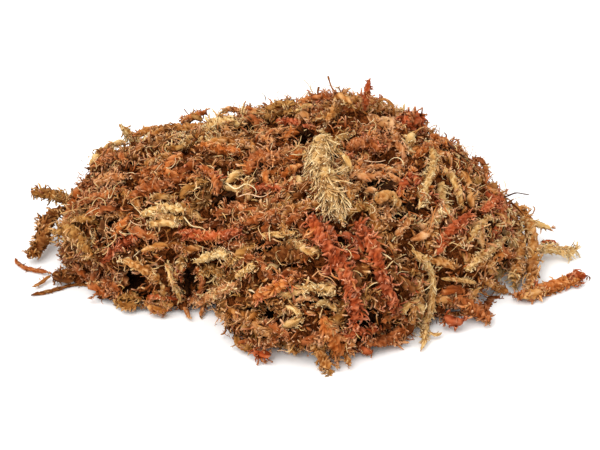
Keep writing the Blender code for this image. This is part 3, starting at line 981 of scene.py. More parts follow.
@dataclass
class Strand:
    """One leafy strand: its course, its two tints and how it grows."""

    course: Course
    tint: Tint
    second: Tint
    second_share: float
    habit: Habit
    tone: float = 0.5
    core_sides: int = 9
    core_step: float = 1.4 * MM

    def shapes(self, rng: Rng, patches: Patches,
               keeps: Callable[[Array], Array] | None = None) -> list[Shapes]:
        """Grows the strand: its dense middle, its branchlets and their leaves.

        Args:
            rng: the source of chance.
            patches: where the second tint takes over.
            keeps: says for the branchlets' middles which of them grow, if not all do.

        Returns:
            The shapes.
        """
        growth = self.habit.value
        smallest, biggest = SIZE_LIMITS
        size = min(biggest, max(smallest, float(self.course.radii.mean()) / USUAL_RADIUS))
        curls = self._curls(growth, size, patches, rng)
        if keeps is not None:
            curls = curls.only(keeps(curls.middles()))
        made = [self._core(growth, patches, rng)]
        if len(curls.root):
            made.append(curls.fingers(growth.thickness * size, rng))
            made.append(curls.leaves(growth, size, rng))
        return made

    def _curls(self, growth: Growth, size: float, patches: Patches, rng: Rng) -> Curls:
        """Works out where the branchlets grow, in bunches round the strand, and how each curls.

        Args:
            growth: how they grow.
            size: how big the leaves are; there are fewer branchlets where it is high.
            patches: where the second tint takes over.
            rng: the source of chance.

        Returns:
            The branchlets.
        """
        thick = float(self.course.radii.mean())
        count = max(6, round(self.course.length * thick / MM**2 * growth.crowding / size))
        bunches = max(3, round(count / growth.bunch))
        bunch = rng.integers(0, bunches, count)
        share = ((np.arange(bunches) + rng.random(bunches)) / bunches)[bunch]
        share = share + rng.normal(0, growth.bunch_spread / self.course.length, count)
        turn = rng.uniform(0, math.tau, bunches)[bunch] + rng.normal(0, CHANCE.turn, count)
        point, ahead, aside, above, radius = self.course.at(share)
        out = aside * np.cos(turn)[:, None] + above * np.sin(turn)[:, None]
        sweep = rng.normal(0, growth.stray, (bunches, 3))[bunch] + rng.normal(0, growth.stray / 2, (count, 3))
        way = unit_rows(out * growth.outward + ahead * growth.forward + sweep)
        lean = rng.normal(0, CHANCE.bunch_lean, (bunches, 3))[bunch] + rng.normal(0, CHANCE.lean, (count, 3))
        lean = lean - out * growth.hug - DROOP
        side = unit_rows(lean - way * dots(lean, way))
        mottle = patches.at(point) * CHANCE.patch_share + rng.normal(0, CHANCE.bunch_mottle, bunches)[bunch]
        return Curls(
            root=point + out * (radius * growth.inner)[:, None],
            way=way,
            side=side,
            face=unit_rows(out + rng.normal(0, CHANCE.face, (count, 3))),
            length=radius * rng.uniform(*growth.reach, count),
            turning=growth.curl * rng.uniform(*CHANCE.curl, count) + LEAST_CURL,
            tint=np.where(mottle > 1 - 2 * self.second_share, self.second.value, self.tint.value),
            tone=self.tone - BRANCHLET_DARKNESS + rng.normal(0, CHANCE.bunch_tone, bunches)[bunch]
            + rng.normal(0, CHANCE.tone, count),
        )

    def _core(self, growth: Growth, patches: Patches, rng: Rng) -> Shapes:
        """Makes the strand's dense middle: a closed, crumpled body, darkened in its creases with painted
        shade.

        Args:
            growth: how thick and how crumpled it is.
            patches: where its tone rises and falls.
            rng: the source of chance.

        Returns:
            Its shape.
        """
        levels = max(6, round(self.course.length / self.core_step))
        around = (levels, self.core_sides)
        stray = (-CHANCE.knob_place, CHANCE.knob_place)
        share = np.linspace(*CORE_SPAN, levels)[:, None] + rng.uniform(*stray, around) / levels
        point, ahead, aside, above, radius = (
            part.reshape(*around, -1) for part in self.course.at(share.ravel()))
        turn = (np.arange(self.core_sides) + rng.uniform(*stray, around)) * math.tau / self.core_sides
        out = aside * np.cos(turn)[..., None] + above * np.sin(turn)[..., None]
        knob = rng.random(around) ** CHANCE.knob_power
        ends = np.minimum(1, np.minimum(share, 1 - share) * CORE_TAPER + CORE_END)
        far = radius[..., 0] * ends * (growth.core + growth.crumple * knob)
        rings = point + out * far[..., None]
        tint = np.array([self.tint.value])
        # painted shade in the creases, painted light on the knobs
        tone = self.tone - CORE_PAINTED_SHADE + CORE_PATCH * patches.at(point) + KNOB_PAINTED_LIGHT * knob
        tone = tone + rng.normal(0, CHANCE.knob_tone, around)
        low, more = CORE_RISE
        rise = low + more * knob + rng.uniform(0, CHANCE.knob_rise, around)
        tip, tip_rise = self.course.points[-1][None], np.array([CORE_TIP_RISE])
        return tube_shapes(rings[None], tip, self.core_sides, tint, tone[None], rise[None], tip_rise)


def surface_of(mesh: bpy.types.Mesh) -> BVHTree:
    """The mesh's faces, to find places on."""
    return BVHTree.FromPolygons([v.co for v in mesh.vertices], [p.vertices for p in mesh.polygons])


FLAT = 0.9998  # the least cosine between the normals of two faces that lie flat with each other


class TubeReader:
    """Finds the middle line of a closed tube with rings of equal corners, as the frame's strands are."""

    def __init__(self, mesh: bpy.types.Mesh) -> None:
        """Welds the tube's corners in mind.

        Args:
            mesh: the tube.
        """
        places = np.empty(len(mesh.vertices) * 3, np.float32)
        mesh.vertices.foreach_get("co", places)
        self.places, back = np.unique(places.reshape(-1, 3).round(6), axis=0, return_inverse=True)
        back = back.ravel()
        self.faces = [tuple(int(back[v]) for v in p.vertices) for p in mesh.polygons]
        self.normals = [p.normal.copy() for p in mesh.polygons]
        self.near = {n: set() for n in range(len(self.places))}
        self.owners = {n: [] for n in range(len(self.places))}
        for number, face in enumerate(self.faces):
            for corner in face:
                self.near[corner].update(set(face) - {corner})
                self.owners[corner].append(number)

    def _farthest(self, start: int) -> int:
        """Finds the corner that is farthest from one, measured along the tube's edges.

        Args:
            start: that one.

        Returns:
            The farthest.
        """
        reached = {start: 0.0}
        edge = [start]
        while edge:
            fresh = []
            for corner in edge:
                for other in self.near[corner]:
                    far = reached[corner] + float(np.linalg.norm(self.places[corner] - self.places[other]))
                    if far < reached.get(other, math.inf) - 1e-9:
                        reached[other] = far
                        fresh.append(other)
            edge = fresh
        return max(reached, key=reached.get)

    def _flat_patch(self, face: int) -> set[int]:
        """Finds the faces that lie flat with one and join it.

        Args:
            face: that one.

        Returns:
            Their corners.
        """
        patch, edge = {face}, [face]
        while edge:
            number = edge.pop()
            for corner in self.faces[number]:
                for other in self.owners[corner]:
                    shares_edge = len(set(self.faces[other]) & set(self.faces[number])) == 2
                    flat = self.normals[other].dot(self.normals[face]) > FLAT
                    if other not in patch and shares_edge and flat:
                        patch.add(other)
                        edge.append(other)
        return {corner for number in patch for corner in self.faces[number]}

    def _rings_from(self, cap: set[int]) -> list[list[int]]:
        """Follows the tube from one end.

        Args:
            cap: the corners of that end.

        Returns:
            The corners of each ring, one ring after another.
        """
        rings, seen_corners = [sorted(cap)], set(cap)
        while True:
            ring = sorted({other for corner in rings[-1] for other in self.near[corner]} - seen_corners)
            if not ring:
                return rings
            seen_corners.update(ring)
            rings.append(ring)

    def course(self) -> Course:
        """The tube's middle line.

        Returns:
            Its course, from the end that was made last to the one made first or the other way round.
        """
        tip = self._farthest(self._farthest(0))
        for face in self.owners[tip]:
            rings = self._rings_from(self._flat_patch(face))
            if len({len(ring) for ring in rings}) == 1 and len(rings) > 2:
                middles = np.array([self.places[ring].mean(0) for ring in rings])
                spokes = [self.places[ring] - middle for ring, middle in zip(rings, middles)]
                radii = [float(np.linalg.norm(spoke, axis=1).mean()) for spoke in spokes]
                return Course.through(middles, np.array(radii))
        raise ValueError("no rings were found on the tube")


@dataclass(frozen=True)
class Dress:
    """What a strand of the frame wears: its node, its tints and how it grows."""

    node: str
    tint: Tint
    second: Tint
    second_share: float = 0.25
    habit: Habit = Habit.TUFTED
    tone: float = 0.5
    fatter: float = 1.0  # how much thicker its leafy form is than its node


T, H = Tint, Habit  # short for the tables below
DRESSES = [
    Dress("ochre_strand_left", T.OLIVE, T.RUST, 0.4, fatter=1.3),
    Dress("brown_strand_left_drop", T.UMBER, T.OCHRE, 0.4, H.CATKIN, 0.62, fatter=1.35),
    Dress("umber_strand_left_low", T.UMBER, T.RUST, 0.3, fatter=1.2),
    Dress("tendril_left", T.RUST, T.OCHRE, 0.4, H.STEM, fatter=1.4),
    Dress("twig_left", T.UMBER, T.ROSE, 0.3, H.STEM, 0.6, fatter=2.0),
    Dress("straw_tuft_left_top", T.STRAW, T.OCHRE, 0.3, H.COMBED, 0.7, fatter=1.6),
    Dress("rust_strand_left_shoulder", T.RUST, T.UMBER, 0.4),
    Dress("rose_strand_left", T.ROSE, T.RUST, 0.3),
    Dress("rust_strand_left_inner", T.RUST, T.ORANGE),
    Dress("olive_tuft_left", T.OLIVE, T.OCHRE, 0.3),
    Dress("red_strand_left_face", T.RED, T.ORANGE, 0.3),
    Dress("ochre_strand_over_hollow", T.OCHRE, T.STRAW, 0.5, tone=0.55),
    Dress("straw_strand_left_face", T.STRAW, T.ROSE, 0.2, tone=0.6, fatter=1.15),
    Dress("beige_stem_left_face", T.STRAW, T.ROSE, 0.4, H.COMBED, 0.7),
    Dress("yellow_tuft_top", T.STRAW, T.OCHRE, 0.35, tone=0.6),
    Dress("orange_strand_top", T.ORANGE, T.RUST, 0.35),
    Dress("rust_strand_top_curl", T.RUST, T.RED, 0.3),
    Dress("red_strand_ridge", T.RED, T.ROSE, 0.3),
    Dress("rust_rosette", T.RUST, T.ORANGE, 0.35),
    Dress("straw_tuft_crest", T.STRAW, T.OCHRE, 0.10, H.FLEECE, 0.52),
    Dress("ochre_strand_crest", T.OCHRE, T.STRAW, 0.4, H.PAPERY),
    Dress("red_sprig_crest", T.RED, T.RUST, 0.4, H.CATKIN, fatter=1.4),
    Dress("stem_loop_crest", T.OCHRE, T.STRAW, 0.3, H.STEM, fatter=1.2),
    Dress("rust_strand_crest_front", T.RUST, T.RED, 0.4),
    Dress("red_head_crest", T.RED, T.RUST, 0.25, H.HEAD, 0.42, fatter=1.2),
    Dress("red_strand_face", T.RED, T.ORANGE, 0.35, fatter=1.1),
    Dress("straw_strand_face", T.STRAW, T.OCHRE, 0.2, tone=0.75),
    Dress("umber_strand_face", T.UMBER, T.RUST, 0.35),
    Dress("straw_strand_mid", T.STRAW, T.OCHRE, 0.4),
    Dress("orange_strand_cross", T.ORANGE, T.RED, 0.35),
    Dress("red_strand_front", T.RED, T.ORANGE, fatter=1.15),
    Dress("red_strand_front_right", T.RED, T.RUST, 0.35, fatter=1.15),
    Dress("rust_foot_left", T.RUST, T.ORANGE, 0.4),
    Dress("ochre_foot_left", T.OCHRE, T.RUST, 0.35),
    Dress("rose_strand_foot", T.ROSE, T.STRAW, 0.35),
    Dress("rust_foot_front", T.RUST, T.ROSE, 0.35),
    Dress("papery_foot_front", T.ORANGE, T.OCHRE, 0.35, H.PAPERY, fatter=1.4),
    Dress("papery_tip_front", T.OCHRE, T.STRAW, 0.35, H.PAPERY, fatter=1.4),
    Dress("rust_foot_right", T.RUST, T.OCHRE, 0.35, fatter=1.2),
    Dress("papery_strand_right", T.STRAW, T.ORANGE, 0.35, H.PAPERY),
    Dress("ochre_leaf_right", T.OCHRE, T.STRAW, 0.3, H.PAPERY, 0.6),
    Dress("rose_stem_right", T.ROSE, T.STRAW, 0.3, H.COMBED),
    Dress("red_strand_right_face", T.RED, T.RUST, 0.3),
    Dress("red_tuft_right", T.RED, T.ROSE, 0.3),
    Dress("straw_strand_fork", T.STRAW, T.OCHRE, 0.3, H.COMBED, fatter=1.1),
    Dress("straw_branch_fork", T.STRAW, T.ROSE, 0.3, H.STEM),
    Dress("rust_strand_right_low", T.RUST, T.ORANGE, 0.35, fatter=1.2),
    Dress("ochre_strand_right_drop", T.OCHRE, T.STRAW, 0.4, fatter=1.2),
    Dress("orange_strand_right_foot", T.ORANGE, T.RED, 0.4, H.CATKIN, fatter=1.45),
    Dress("straw_strand_right_out", T.STRAW, T.OCHRE, 0.3, H.COMBED, 0.7, fatter=1.35),
    Dress("beige_strand_right_top", T.STRAW, T.ROSE, 0.4, H.COMBED, 0.6, fatter=1.4),
    Dress("rust_strand_back", T.RUST, T.ORANGE, 0.3),
    Dress("ochre_strand_back_right", T.OCHRE, T.STRAW, 0.3),
    Dress("straw_strand_back", T.OCHRE, T.RUST, 0.5, tone=0.45),
    Dress("red_strand_back", T.RED, T.RUST, 0.3),
]


@dataclass(frozen=True)
class Laid:
    """A strand that lies over the heap: its tint, its radius in mm and its route across and down in the view.

    A place of the route that has a third number is that many millimetres above the ground, not on the heap.
    """

    tint: Tint
    radius: float
    route: tuple
    second: Tint
    second_share: float = 0.4
    habit: Habit = Habit.TUFTED
    tone: float = 0.5
    off: float = 0.0  # how far it stands off the heap, in mm


LAID = [
    # the left
    Laid(T.STRAW, 2.6, ((90, 166), (99, 154), (112, 146), (127, 141)), T.OCHRE),
    Laid(T.UMBER, 3.0, ((97, 151), (116, 154), (138, 158)), T.RUST, 0.35),
    Laid(T.RUST, 3.4, ((76, 205), (90, 199), (104, 196), (118, 191)), T.OCHRE, 0.3),
    Laid(T.OLIVE, 3.2, ((70, 222), (84, 219), (99, 223)), T.OCHRE, 0.3),
    Laid(T.UMBER, 3.4, ((64, 248), (77, 257), (92, 263)), T.RUST, 0.35),
    Laid(T.ORANGE, 3.4, ((113, 238), (120, 227), (130, 217)), T.RUST, 0.3),
    Laid(T.STRAW, 2.8, ((140, 212), (157, 215), (184, 219)), T.ROSE, 0.3),
    Laid(T.STRAW, 2.6, ((148, 225), (165, 222), (181, 227)), T.OCHRE),
    Laid(T.OCHRE, 2.8, ((141, 252), (154, 247), (168, 245)), T.RUST, 0.3),
    Laid(T.OLIVE, 3.0, ((118, 300), (130, 296), (143, 300)), T.UMBER),
    Laid(T.RED, 2.8, ((147, 296), (162, 297), (178, 299)), T.RUST),
    Laid(T.ROSE, 2.8, ((184, 305), (194, 299), (205, 303)), T.STRAW),
    Laid(T.STRAW, 1.5, ((165, 262), (168, 270), (172, 281), (177, 291), (182, 304)), T.ROSE, 0.4, H.COMBED,
         0.6, off=3.4),
    Laid(T.RUST, 2.3, ((196, 266), (202, 278), (201, 290), (194, 301)), T.OCHRE, 0.4, H.PAPERY, off=1),
    Laid(T.RUST, 2.6, ((174, 266), (179, 277), (179, 290), (176, 300)), T.RED, 0.3, tone=0.35),
    Laid(T.UMBER, 3.0, ((103, 219), (106, 236), (113, 251)), T.RUST, 0.2, tone=0.3),
    Laid(T.OCHRE, 3.0, ((119, 189), (131, 196), (140, 207)), T.RUST, 0.35),
    Laid(T.RUST, 3.4, ((127, 226), (140, 232), (157, 237)), T.OCHRE, 0.3),
    Laid(T.RUST, 3.2, ((86, 214), (100, 210), (116, 207)), T.ROSE, 0.3),
    Laid(T.ORANGE, 3.0, ((72, 240), (70, 226), (76, 214)), T.RUST),
    # the top, left of the crest
    Laid(T.ROSE, 3.0, ((134, 151), (150, 141), (168, 135), (183, 138)), T.STRAW, 0.45),
    Laid(T.OCHRE, 3.0, ((145, 165), (158, 160), (171, 154)), T.STRAW),
    Laid(T.ORANGE, 3.2, ((163, 172), (172, 162), (183, 155)), T.RUST, 0.3),
    Laid(T.RUST, 3.2, ((177, 173), (190, 166), (203, 159)), T.RED, tone=0.35),
    Laid(T.ORANGE, 2.8, ((181, 123), (194, 116), (207, 112)), T.OCHRE),
    Laid(T.ROSE, 2.8, ((243, 117), (256, 112), (270, 115)), T.OLIVE, 0.3),
    Laid(T.OLIVE, 3.0, ((262, 119), (277, 114), (293, 111)), T.UMBER, 0.3),
    Laid(T.RUST, 2.6, ((314, 107), (326, 102), (337, 100)), T.UMBER, tone=0.35),
    Laid(T.ORANGE, 3.0, ((283, 139), (292, 133), (301, 131)), T.RED),
    Laid(T.STRAW, 3.0, ((225, 184), (236, 175), (249, 170)), T.OCHRE, 0.3, tone=0.6),
    Laid(T.OLIVE, 3.2, ((179, 199), (190, 188), (205, 181)), T.OCHRE),
    Laid(T.ORANGE, 3.2, ((281, 177), (292, 170), (303, 165)), T.RUST, 0.35),
    Laid(T.UMBER, 3.6, ((293, 202), (303, 190), (315, 177)), T.RUST, 0.35),
    Laid(T.RUST, 3.6, ((213, 215), (230, 210), (249, 206)), T.ORANGE),
    Laid(T.RUST, 3.2, ((231, 227), (250, 221), (269, 215), (290, 207)), T.ROSE, 0.3, tone=0.45),
    Laid(T.UMBER, 2.6, ((201, 158), (221, 163), (243, 164)), T.RUST, 0.2, tone=0.3),
    Laid(T.ROSE, 2.8, ((254, 130), (269, 133), (284, 130)), T.OCHRE, 0.3),
    Laid(T.OLIVE, 2.8, ((159, 148), (177, 148), (195, 142)), T.STRAW),
    Laid(T.OCHRE, 3.0, ((207, 142), (222, 141), (239, 138)), T.STRAW),
    Laid(T.RUST, 3.2, ((160, 190), (172, 182), (186, 178)), T.RED, 0.3),
    Laid(T.RED, 3.0, ((253, 190), (268, 186), (284, 190)), T.RUST),
    # the middle of the front
    Laid(T.STRAW, 3.2, ((337, 148), (344, 167), (341, 189)), T.OCHRE, 0.3, H.COMBED),
    Laid(T.STRAW, 3.0, ((304, 150), (309, 172), (316, 196)), T.ROSE, 0.2, H.COMBED, 0.65),
    Laid(T.OLIVE, 3.4, ((225, 264), (240, 255), (257, 246)), T.STRAW, 0.45),
    Laid(T.STRAW, 2.8, ((235, 277), (248, 269), (259, 262)), T.OLIVE),
    Laid(T.UMBER, 3.6, ((309, 290), (322, 292), (337, 299)), T.RUST, 0.25, tone=0.35),
    Laid(T.UMBER, 3.4, ((235, 300), (251, 301), (267, 307)), T.OLIVE, 0.35, tone=0.35),
    Laid(T.STRAW, 2.4, ((279, 313), (290, 308), (302, 314)), T.ROSE, 0.3),
    Laid(T.STRAW, 2.6, ((315, 308), (326, 302), (337, 311)), T.OCHRE, 0.3),
    Laid(T.STRAW, 2.8, ((274, 334), (288, 325), (301, 318)), T.OCHRE, 0.45),
    Laid(T.OCHRE, 2.8, ((244, 330), (250, 319), (260, 310)), T.RUST, 0.3),
    Laid(T.ROSE, 2.4, ((293, 303), (307, 298), (321, 302)), T.STRAW, 0.3),
    Laid(T.RUST, 3.0, ((300, 344), (312, 338), (327, 333)), T.ORANGE),
    Laid(T.RUST, 3.0, ((262, 321), (276, 327), (290, 338)), T.OCHRE, 0.3),
    Laid(T.OLIVE, 3.0, ((198, 274), (212, 268), (222, 276)), T.STRAW),
    Laid(T.RUST, 3.0, ((285, 224), (297, 217), (309, 207)), T.OCHRE),
    # the right
    Laid(T.RUST, 3.2, ((346, 160), (356, 151), (367, 141), (378, 134)), T.RED),
    Laid(T.ROSE, 3.0, ((345, 172), (365, 177), (386, 176), (403, 183)), T.ORANGE, 0.35),
    Laid(T.RED, 3.2, ((397, 197), (404, 184), (412, 171)), T.ORANGE, 0.45),
    Laid(T.ORANGE, 3.2, ((415, 157), (430, 146), (447, 140)), T.RUST),
    Laid(T.STRAW, 2.8, ((441, 166), (452, 178), (458, 192), (462, 207)), T.ROSE, 0.45),
    Laid(T.OCHRE, 2.8, ((461, 176), (472, 188), (483, 200)), T.STRAW),
    Laid(T.OLIVE, 3.2, ((342, 213), (360, 208), (381, 202)), T.UMBER, 0.35),
    Laid(T.RED, 3.2, ((342, 233), (355, 241), (364, 252)), T.RUST),
    Laid(T.UMBER, 3.8, ((342, 262), (352, 277), (360, 293), (366, 309)), T.OLIVE, 0.35, tone=0.35),
    Laid(T.UMBER, 3.6, ((387, 270), (400, 280), (415, 291)), T.RED, 0.35, tone=0.4),
    Laid(T.STRAW, 2.6, ((399, 316), (408, 305), (419, 300)), T.ROSE),
    Laid(T.ROSE, 2.8, ((395, 237), (404, 226), (413, 217)), T.STRAW, tone=0.6),
    Laid(T.RED, 3.2, ((435, 254), (446, 241), (457, 231)), T.RUST, 0.35),
    Laid(T.STRAW, 2.8, ((465, 271), (480, 257), (496, 246), (508, 236)), T.ROSE, 0.45),
    Laid(T.STRAW, 2.6, ((469, 241), (478, 227), (491, 216)), T.ROSE),
    Laid(T.OCHRE, 3.0, ((423, 256), (440, 262), (459, 268)), T.STRAW),
    Laid(T.RUST, 3.2, ((439, 294), (456, 290), (476, 299)), T.OCHRE, 0.35),
    Laid(T.ORANGE, 3.2, ((446, 313), (456, 321), (468, 326)), T.RUST, 0.35),
    Laid(T.RUST, 3.0, ((480, 321), (490, 312), (499, 301)), T.OCHRE, 0.35),
    Laid(T.OCHRE, 3.0, ((485, 281), (498, 288), (509, 293)), T.ROSE, 0.3),
    Laid(T.ROSE, 3.0, ((410, 240), (422, 236), (433, 228)), T.OCHRE, 0.3),
    Laid(T.OCHRE, 3.0, ((350, 203), (352, 192), (360, 184)), T.UMBER, 0.3),
    Laid(T.RUST, 3.0, ((382, 322), (396, 314), (408, 322)), T.UMBER),
    Laid(T.RUST, 1.8, ((469, 171), (474, 162), (481, 160), (486, 169), (486, 180)), T.ORANGE, 0.3, off=3),
    Laid(T.RED, 3.2, ((486, 192), (494, 201), (501, 208)), T.RUST, off=4),
    Laid(T.OCHRE, 4.2, ((512, 204, 17), (524, 214, 15), (530, 228, 12), (532, 244, 9), (533, 260, 7),
                        (532, 276, 5), (529, 290, 4.4)), T.STRAW, 0.3),
    Laid(T.OCHRE, 3.6, ((520, 297, 3.8), (532, 294, 4.0), (546, 290, 3.8)), T.ORANGE),
    Laid(T.RED, 3.2, ((564, 281, 3.4), (575, 275, 3.6), (586, 277, 3.4)), T.RUST, 0.3),
    Laid(T.STRAW, 2.8, ((536, 250, 6), (550, 248, 5), (562, 252, 4.5), (572, 248, 4.5)), T.ROSE, 0.3),
    Laid(T.RED, 1.8, ((541, 243, 7), (549, 241, 6.5), (557, 244, 6)), T.ROSE, 0.5),
    Laid(T.ORANGE, 2.8, ((430, 137), (439, 139), (447, 146)), T.RUST, off=3),
    # the skyline
    Laid(T.OLIVE, 2.6, ((266, 110, 60), (281, 104, 62), (296, 104, 64)), T.STRAW),
    Laid(T.RUST, 2.6, ((311, 99, 66), (322, 96, 68), (331, 100, 68)), T.RED, 0.3),
    Laid(T.OCHRE, 2.8, ((333, 97, 69), (342, 97, 70), (352, 104, 69)), T.STRAW),
    Laid(T.ROSE, 2.2, ((222, 113, 50), (231, 109, 52), (242, 111, 54)), T.OLIVE),
    Laid(T.STRAW, 2.4, ((296, 112), (306, 107), (318, 106)), T.OCHRE, off=2),
    Laid(T.STRAW, 4.4, ((206, 132), (215, 125), (227, 121), (239, 124)), T.OCHRE, 0.3, tone=0.6, off=1),
    Laid(T.OLIVE, 2.4, ((187, 124), (194, 116), (203, 121)), T.STRAW, off=1),
    Laid(T.OCHRE, 2.6, ((149, 137), (160, 131), (172, 132)), T.ROSE, off=1),
    Laid(T.RUST, 2.2, ((239, 113), (248, 108), (257, 114)), T.ROSE, off=1),
    Laid(T.OCHRE, 1.8, ((378, 112), (379, 104), (383, 98)), T.STRAW, off=1),
    Laid(T.STRAW, 3.4, ((315, 148), (324, 144), (335, 150)), T.OCHRE, 0.2, tone=0.62, off=4),
    Laid(T.STRAW, 2.6, ((323, 192), (334, 205), (343, 222)), T.ROSE, 0.45, off=6),
    Laid(T.STRAW, 2.2, ((339, 152), (347, 160), (351, 170)), T.OCHRE, off=5),
    Laid(T.OCHRE, 2.2, ((340, 176), (347, 187), (350, 199)), T.STRAW, 0.5, off=5),
    Laid(T.ROSE, 2.0, ((309, 176), (316, 188), (325, 199)), T.STRAW, 0.5, off=5),
    # round the heap's foot
    Laid(T.OLIVE, 3.0, ((117, 301, 4), (127, 306, 3.6), (138, 304, 3.8)), T.OCHRE),
    Laid(T.OCHRE, 2.8, ((147, 305, 4), (157, 311, 3.4), (168, 310, 3.4)), T.RUST),
    Laid(T.ROSE, 1.8, ((183, 305, 3.4), (187, 312, 2.4), (189, 318, 1.9)), T.STRAW),
    Laid(T.ROSE, 1.6, ((205, 300, 5), (203, 308, 2.6), (200, 316, 1.8)), T.STRAW),
    Laid(T.OLIVE, 3.2, ((235, 336, 4.5), (242, 345, 3.8), (252, 349, 3.6)), T.RUST),
    Laid(T.RED, 3.4, ((254, 352, 3.6), (262, 356, 3.6), (270, 353, 3.6)), T.RUST),
    Laid(T.OCHRE, 2.4, ((283, 338, 5), (290, 347, 3.4), (297, 354, 2.6)), T.STRAW),
    Laid(T.OCHRE, 2.2, ((339, 349, 4.5), (347, 358, 3), (350, 366, 2.2)), T.STRAW),
    Laid(T.RED, 2.8, ((356, 342, 4.5), (364, 349, 3.4), (372, 353, 3)), T.RUST),
    Laid(T.STRAW, 1.5, ((425, 328, 4), (425, 340, 2.4), (421, 350, 1.6)), T.ROSE, 0.3),
    Laid(T.STRAW, 1.3, ((428, 332, 3), (435, 335, 2.4), (442, 333, 2)), T.ROSE, 0.3),
    Laid(T.RED, 3.4, ((444, 316, 6), (453, 322, 4.6), (464, 320, 5)), T.RUST),
    Laid(T.RUST, 3.0, ((480, 303, 5), (486, 313, 4), (489, 322, 3.2)), T.OCHRE),
    # beside the heap on the left
    Laid(T.OLIVE, 3.4, ((34, 196, 15), (44, 193, 16), (56, 195, 17), (64, 202, 16)), T.RUST, 0.5),
    Laid(T.UMBER, 3.4, ((53, 278, 3.4), (64, 279, 3.8), (76, 277, 4.0)), T.RED, 0.3, tone=0.35),
    Laid(T.OCHRE, 1.5, ((51, 275, 2.6), (43, 281, 2.0), (34, 287, 1.7)), T.RUST),
    Laid(T.RUST, 3.4, ((73, 262, 8), (82, 272, 6), (92, 283, 4)), T.OCHRE, tone=0.4),
    Laid(T.RUST, 4.0, ((88, 282, 6), (98, 289, 5), (110, 296, 4.4)), T.OCHRE, 0.4, H.PAPERY),
]


def fix_to_clump(piece: bpy.types.Object, slot: str, *nodes: str) -> None:
    """Fixes a piece to the clump and reports it.

    Args:
        piece: the piece.
        slot: a material slot of the record; not used.
        nodes: the nodes of the frame that it stands for, where there are any.
    """
    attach(piece, "root")
    if nodes:
        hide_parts(*nodes)
    log.info("%s: %d triangles", piece.name, len(piece.data.polygons))


@dataclass
class FrameStrands:
    """The strands that the frame has one by one, each dressed with leaves in place of its node."""

    dresses: list[Dress]
    core_sides: int = 15
    core_step: float = 0.8 * MM
    courses: dict[str, Course] = field(default_factory=dict)

    def read(self) -> None:
        """Reads each strand's middle line from its node."""
        for dress in self.dresses:
            self.courses[dress.node] = TubeReader(frame["nodes"][dress.node].data).course()

    def build(self, patches: Patches) -> None:
        """Makes each strand's piece.

        Args:
            patches: where second tints take over.
        """
        slots = {material["slot"] for material in frame["record"]["materials"]}
        for number, dress in enumerate(self.dresses):
            rng = np.random.default_rng(STRAND_SEED + number)
            read = self.courses[dress.node]
            strand = Strand(Course(read.points, read.radii * dress.fatter), dress.tint, dress.second,
                            dress.second_share, dress.habit, dress.tone, self.core_sides, self.core_step)
            slot = dress.tint.name.lower()
            piece = Shapes.joined(strand.shapes(rng, patches)).piece(dress.node + "_leaves")
            fix_to_clump(piece, slot if slot in slots else "matted", dress.node)

    def spots(self) -> KDTree:
        """Gathers every point of the courses, to find how near a place is to a strand.

        Returns:
            The points.
        """
        points = [p for course in self.courses.values() for p in course.points]
        tree = KDTree(len(points))
        for number, point in enumerate(points):
            tree.insert(point, number)
        tree.balance()
        return tree


Marks = list[tuple[float, float, float]]  # across and down in the view, and half the width in mm

PITS = [  # hollows between the strands at the front, sunk into the tangle and darkened with painted shade
    (137, 278, 6.0), (189, 281, 4.4), (108, 227, 4.0), (305, 139, 3.8), (252, 130, 3.4), (225, 206, 3.6),
    (266, 254, 3.8), (332, 242, 3.6), (373, 184, 4.0), (400, 215, 4.6), (266, 306, 4.8), (320, 296, 5.0),
    (364, 322, 5.0), (498, 270, 4.6), (488, 234, 4.0),
]

DIPS = [  # where no fill strand lies, so that the outline and the foot dip in
    (133, 146, 5), (174, 130, 3.5), (212, 120, 4), (262, 112, 3.5), (358, 103, 3), (399, 113, 4),
    (430, 128, 5), (446, 146, 3), (463, 158, 4), (489, 188, 4), (143, 302, 3.5), (212, 296, 5),
    (226, 330, 4), (276, 345, 4), (305, 350, 4), (412, 335, 4), (472, 322, 4), (500, 295, 4),
]


@dataclass
class Hollows:
    """Round places on the heap that strands and branchlets keep clear of."""

    middles: Array
    halves: Array  # half of each one's width

    @classmethod
    def seen_at(cls, marks: Marks, view: View, surface: BVHTree) -> "Hollows":
        """The hollows that are seen on the heap's surface at the marks."""
        middles = [view.on_surface(across, down, surface) for across, down, _ in marks]
        return cls(np.array(middles), np.array([half * MM for _, _, half in marks]))

    def distance(self, places: Array) -> Array:
        """How far each place is from the nearest hollow's middle, in halves of its width."""
        return (np.linalg.norm(places[:, None] - self.middles, axis=2) / self.halves).min(1)


